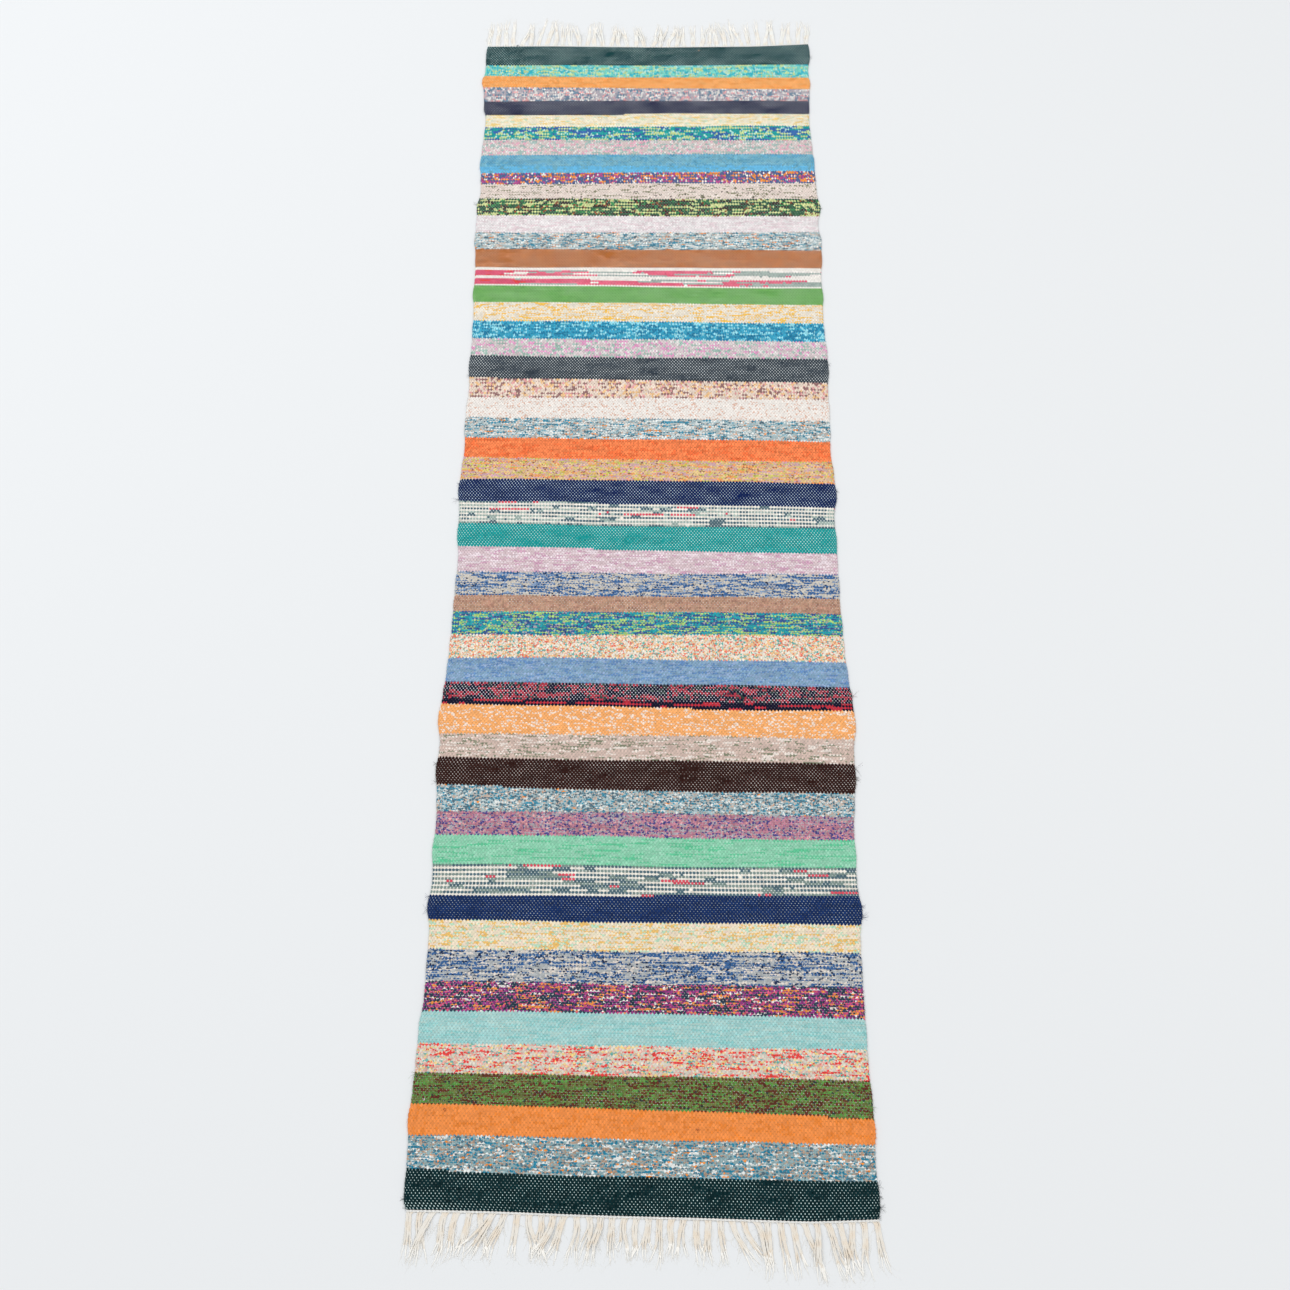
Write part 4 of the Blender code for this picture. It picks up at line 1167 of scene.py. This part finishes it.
def wisps_piece(web, materials):
    """Fuzz and loose rag threads that stand out of both selvedges, and curls on the web."""
    rng = np.random.default_rng(WISP_SEED)
    names = [band.yarn for band in BANDS]
    groups = [(side, names.index(yarn), *rest, WISP_RADIUS) for side, yarn, *rest in WISPS]
    for number in range(len(BANDS)):
        for side in (-1, 1):
            groups += [(side, number, rng.uniform(0.05, 0.95), 3, rng.uniform(2.0, 4.5), FUZZ_RADIUS)
                       for _ in range(5)]
    steps = np.linspace(0, 1, WISP_STEPS)
    lines, radii, owners = [], [], []
    for side, number, share, hairs, length, radius in groups:
        level = np.array([web.starts[number] + share * web.picks[number]])
        edge = web.edges(level)[0 if side < 0 else 1][0]
        edge_y = web.along(level, np.array([0.0 if side < 0 else 1.0]))[0, 0]
        for _ in range(hairs):
            reach = length * MM * rng.uniform(0.5, 1.0)
            angle, curl = rng.normal(0, 0.55), rng.normal(0, 0.5)
            out = side * (steps * math.cos(angle)) * reach
            slip = (steps * math.sin(angle) + curl * steps ** 2) * reach
            start_y = edge_y + rng.uniform(-2.2, 2.2) * MM
            z = rng.uniform(1.0, 2.8) * MM * (1 - steps) ** 1.5 + 0.25 * MM
            z = z + rng.uniform(0, 1.2) * MM * hump(steps)
            lines.append(np.stack([side * (edge - 0.6 * MM) + out, start_y + slip, z], 1))
            radii.append(np.linspace(radius, radius * 0.4, WISP_STEPS) * MM)
            owners.append(number)
    for yarn, share, across, dye, size in NUBS:
        number = names.index(yarn)
        level = np.array([web.starts[number] + share * web.picks[number]])
        left, right = (side[0] for side in web.edges(level))
        y = web.along(level, np.array([across]))[0, 0]
        turn = np.linspace(0, NUB_TURN, WISP_STEPS) + rng.uniform(0, 2 * math.pi)
        lines.append(np.stack([
            -left + (left + right) * across + 0.5 * size * MM * np.cos(turn),
            y + 0.5 * size * MM * np.sin(turn),
            FLOAT_HEIGHT + 0.4 * size * MM * hump(steps)], 1))
        radii.append(np.full(WISP_STEPS, NUB_RADIUS))
        owners.append(names.index(dye))
    points, faces, uv = cords(np.array(lines) + web.shift, np.array(radii), WISP_SIDES)
    used = sorted({names[number] for number in owners})
    slot = np.array([used.index(names[number]) for number in owners])
    slots = np.concatenate([np.repeat(slot, (WISP_STEPS - 1) * WISP_SIDES), slot, slot])
    return finished_mesh("selvedge_wisps", points, faces, {"weave": uv}, slots,
                         [materials[name] for name in used])


# ------------------------------------------------------------------ the studio

def add_camera(web):
    near = web.lines[-1] + web.shift[1]
    data = bpy.data.cameras.new("camera")
    data.sensor_width = SENSOR_WIDTH
    data.lens = FOCAL_PIXELS / PHOTO_PIXELS * SENSOR_WIDTH
    data.clip_start, data.clip_end = 0.05, 100.0
    camera = bpy.data.objects.new("camera", data)
    camera.location = (CAMERA_SIDE + web.shift[0], near - CAMERA_FROM_NEAR_EDGE, CAMERA_HEIGHT)
    camera.rotation_euler = (math.pi / 2 - CAMERA_DOWN, 0.0, CAMERA_TURN)
    bpy.context.scene.collection.objects.link(camera)
    bpy.context.scene.camera = camera


def add_floor():
    bpy.ops.mesh.primitive_plane_add(size=FLOOR_SIZE, location=(0, 0, 0))
    floor = bpy.context.object
    floor.name = "floor"
    floor.data.materials.append(floor_material())
    floor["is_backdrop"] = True


def add_softbox(name, location, aim, size, power, tint):
    data = bpy.data.lights.new(name, "AREA")
    data.shape = "RECTANGLE"
    data.size = data.size_y = size
    data.color = tint
    data.energy = power
    lamp = bpy.data.objects.new(name, data)
    lamp.location = location
    x, y, z = np.array(aim) - np.array(location)
    lamp.rotation_euler = (math.atan2(math.hypot(x, y), -z), 0.0, math.atan2(-x, y))
    bpy.context.scene.collection.objects.link(lamp)


def add_studio(web):
    add_floor()
    world = bpy.data.worlds.new("studio")
    world.use_nodes = True
    sky = world.node_tree.nodes["Background"]
    sky.inputs["Color"].default_value = SKY_COLOUR
    sky.inputs["Strength"].default_value = SKY_STRENGTH
    bpy.context.scene.world = world
    for softbox in SOFTBOXES:
        add_softbox(*softbox)
    bpy.context.scene.view_settings.view_transform = "Standard"
    add_camera(web)


# ------------------------------------------------------------------ the rug

def heading_and_ends(end, web, table, seed, first, row, heading_cotton, end_cotton):
    """The white heading at one end of the rug and its fringe."""
    pieces = [
        woven_piece(end + "_heading", web, first, HEADING_PICKS, HEADING_DROP,
                    np.zeros((HEADING_PICKS, ENDS), dtype=int), [heading_cotton]),
        fringe_piece(end + "_warp_ends", web, table, seed, row, end_cotton),
    ]
    for piece in pieces:
        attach(piece, "root")
        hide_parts(end + "_fringe")
    return pieces


def main():
    web = Web()
    low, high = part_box("woven_cloth")
    edges = web.edges(np.arange(0, web.total, 0.25))
    ends = web.along(np.array([0.0, float(web.total)]), end_shares())
    web.shift = np.array([(low[0] + high[0]) / 2 - (edges[1].max() - edges[0].max()) / 2,
                          (low[1] + high[1]) / 2 - (ends[0].max() + ends[1].min()) / 2, 0.0])
    weave_grid(web.total)
    rag_fleck()
    cotton_tone()
    names, chart = yarn_of_pick(web)
    looseness = np.array([min(1.0, YARNS[name].warp / LOOSE_WARP) for name in names])
    swell = TIGHT_SWELL + (LOOSE_SWELL - TIGHT_SWELL) * looseness
    web.swell[HEADING_PICKS:-HEADING_PICKS] = swell[chart[:, ENDS // 2]]
    yarns = [yarn_material(name, YARNS[name], seed) for seed, name in enumerate(names)]
    # the heading's white cotton gets little painted shade in the gaps between its floats
    heading_cotton = yarn_material("heading cotton", Yarn("heading", [], 0.1, 0.03, gap=0.2), 90)
    lint = lint_material()

    near = heading_and_ends("near", web, NEAR_FRINGE, NEAR_SEED, web.total, web.total + HEADING_PICKS,
                            heading_cotton, [cord_material("near_cotton", "cotton", "cotton shade"), lint])
    # the far fringe's cords take paler copies of the cotton's dyes: painted light for the brighter light
    # at the far end
    far = heading_and_ends("far", web, FAR_FRINGE, FAR_SEED, -HEADING_PICKS, -HEADING_PICKS,
                           heading_cotton,
                           [cord_material("far_cotton_painted_light", "far cotton", "far cotton shade"), lint])

    fuzz = {name: fuzz_material(name, YARNS.get(name, YARNS["plain white"]))
            for name in sorted({band.yarn for band in BANDS})}
    wisps = wisps_piece(web, fuzz)
    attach(wisps, "root")

    bounds = list(range(0, len(BANDS), BANDS_PER_LENGTH)) + [len(BANDS)]
    on_it = {1: far + [wisps], len(bounds) - 1: near}
    for number, (start, stop) in enumerate(zip(bounds, bounds[1:]), 1):
        first, last = int(web.starts[start]), int(web.starts[stop])
        used, slots = np.unique(chart[first:last], return_inverse=True)
        piece = woven_piece(f"web_length_{number}", web, first, last - first, 0.0,
                            slots.reshape(last - first, ENDS), [yarns[k] for k in used])
        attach(piece, "root")
        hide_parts("woven_cloth")
        depth = abs(web.lines[start] - web.lines[stop])
        float(depth)
        on_it.get(number, [])
    add_studio(web)


main()
{"cad": CAD_BOX, "visual": [list(corner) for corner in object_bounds()]}
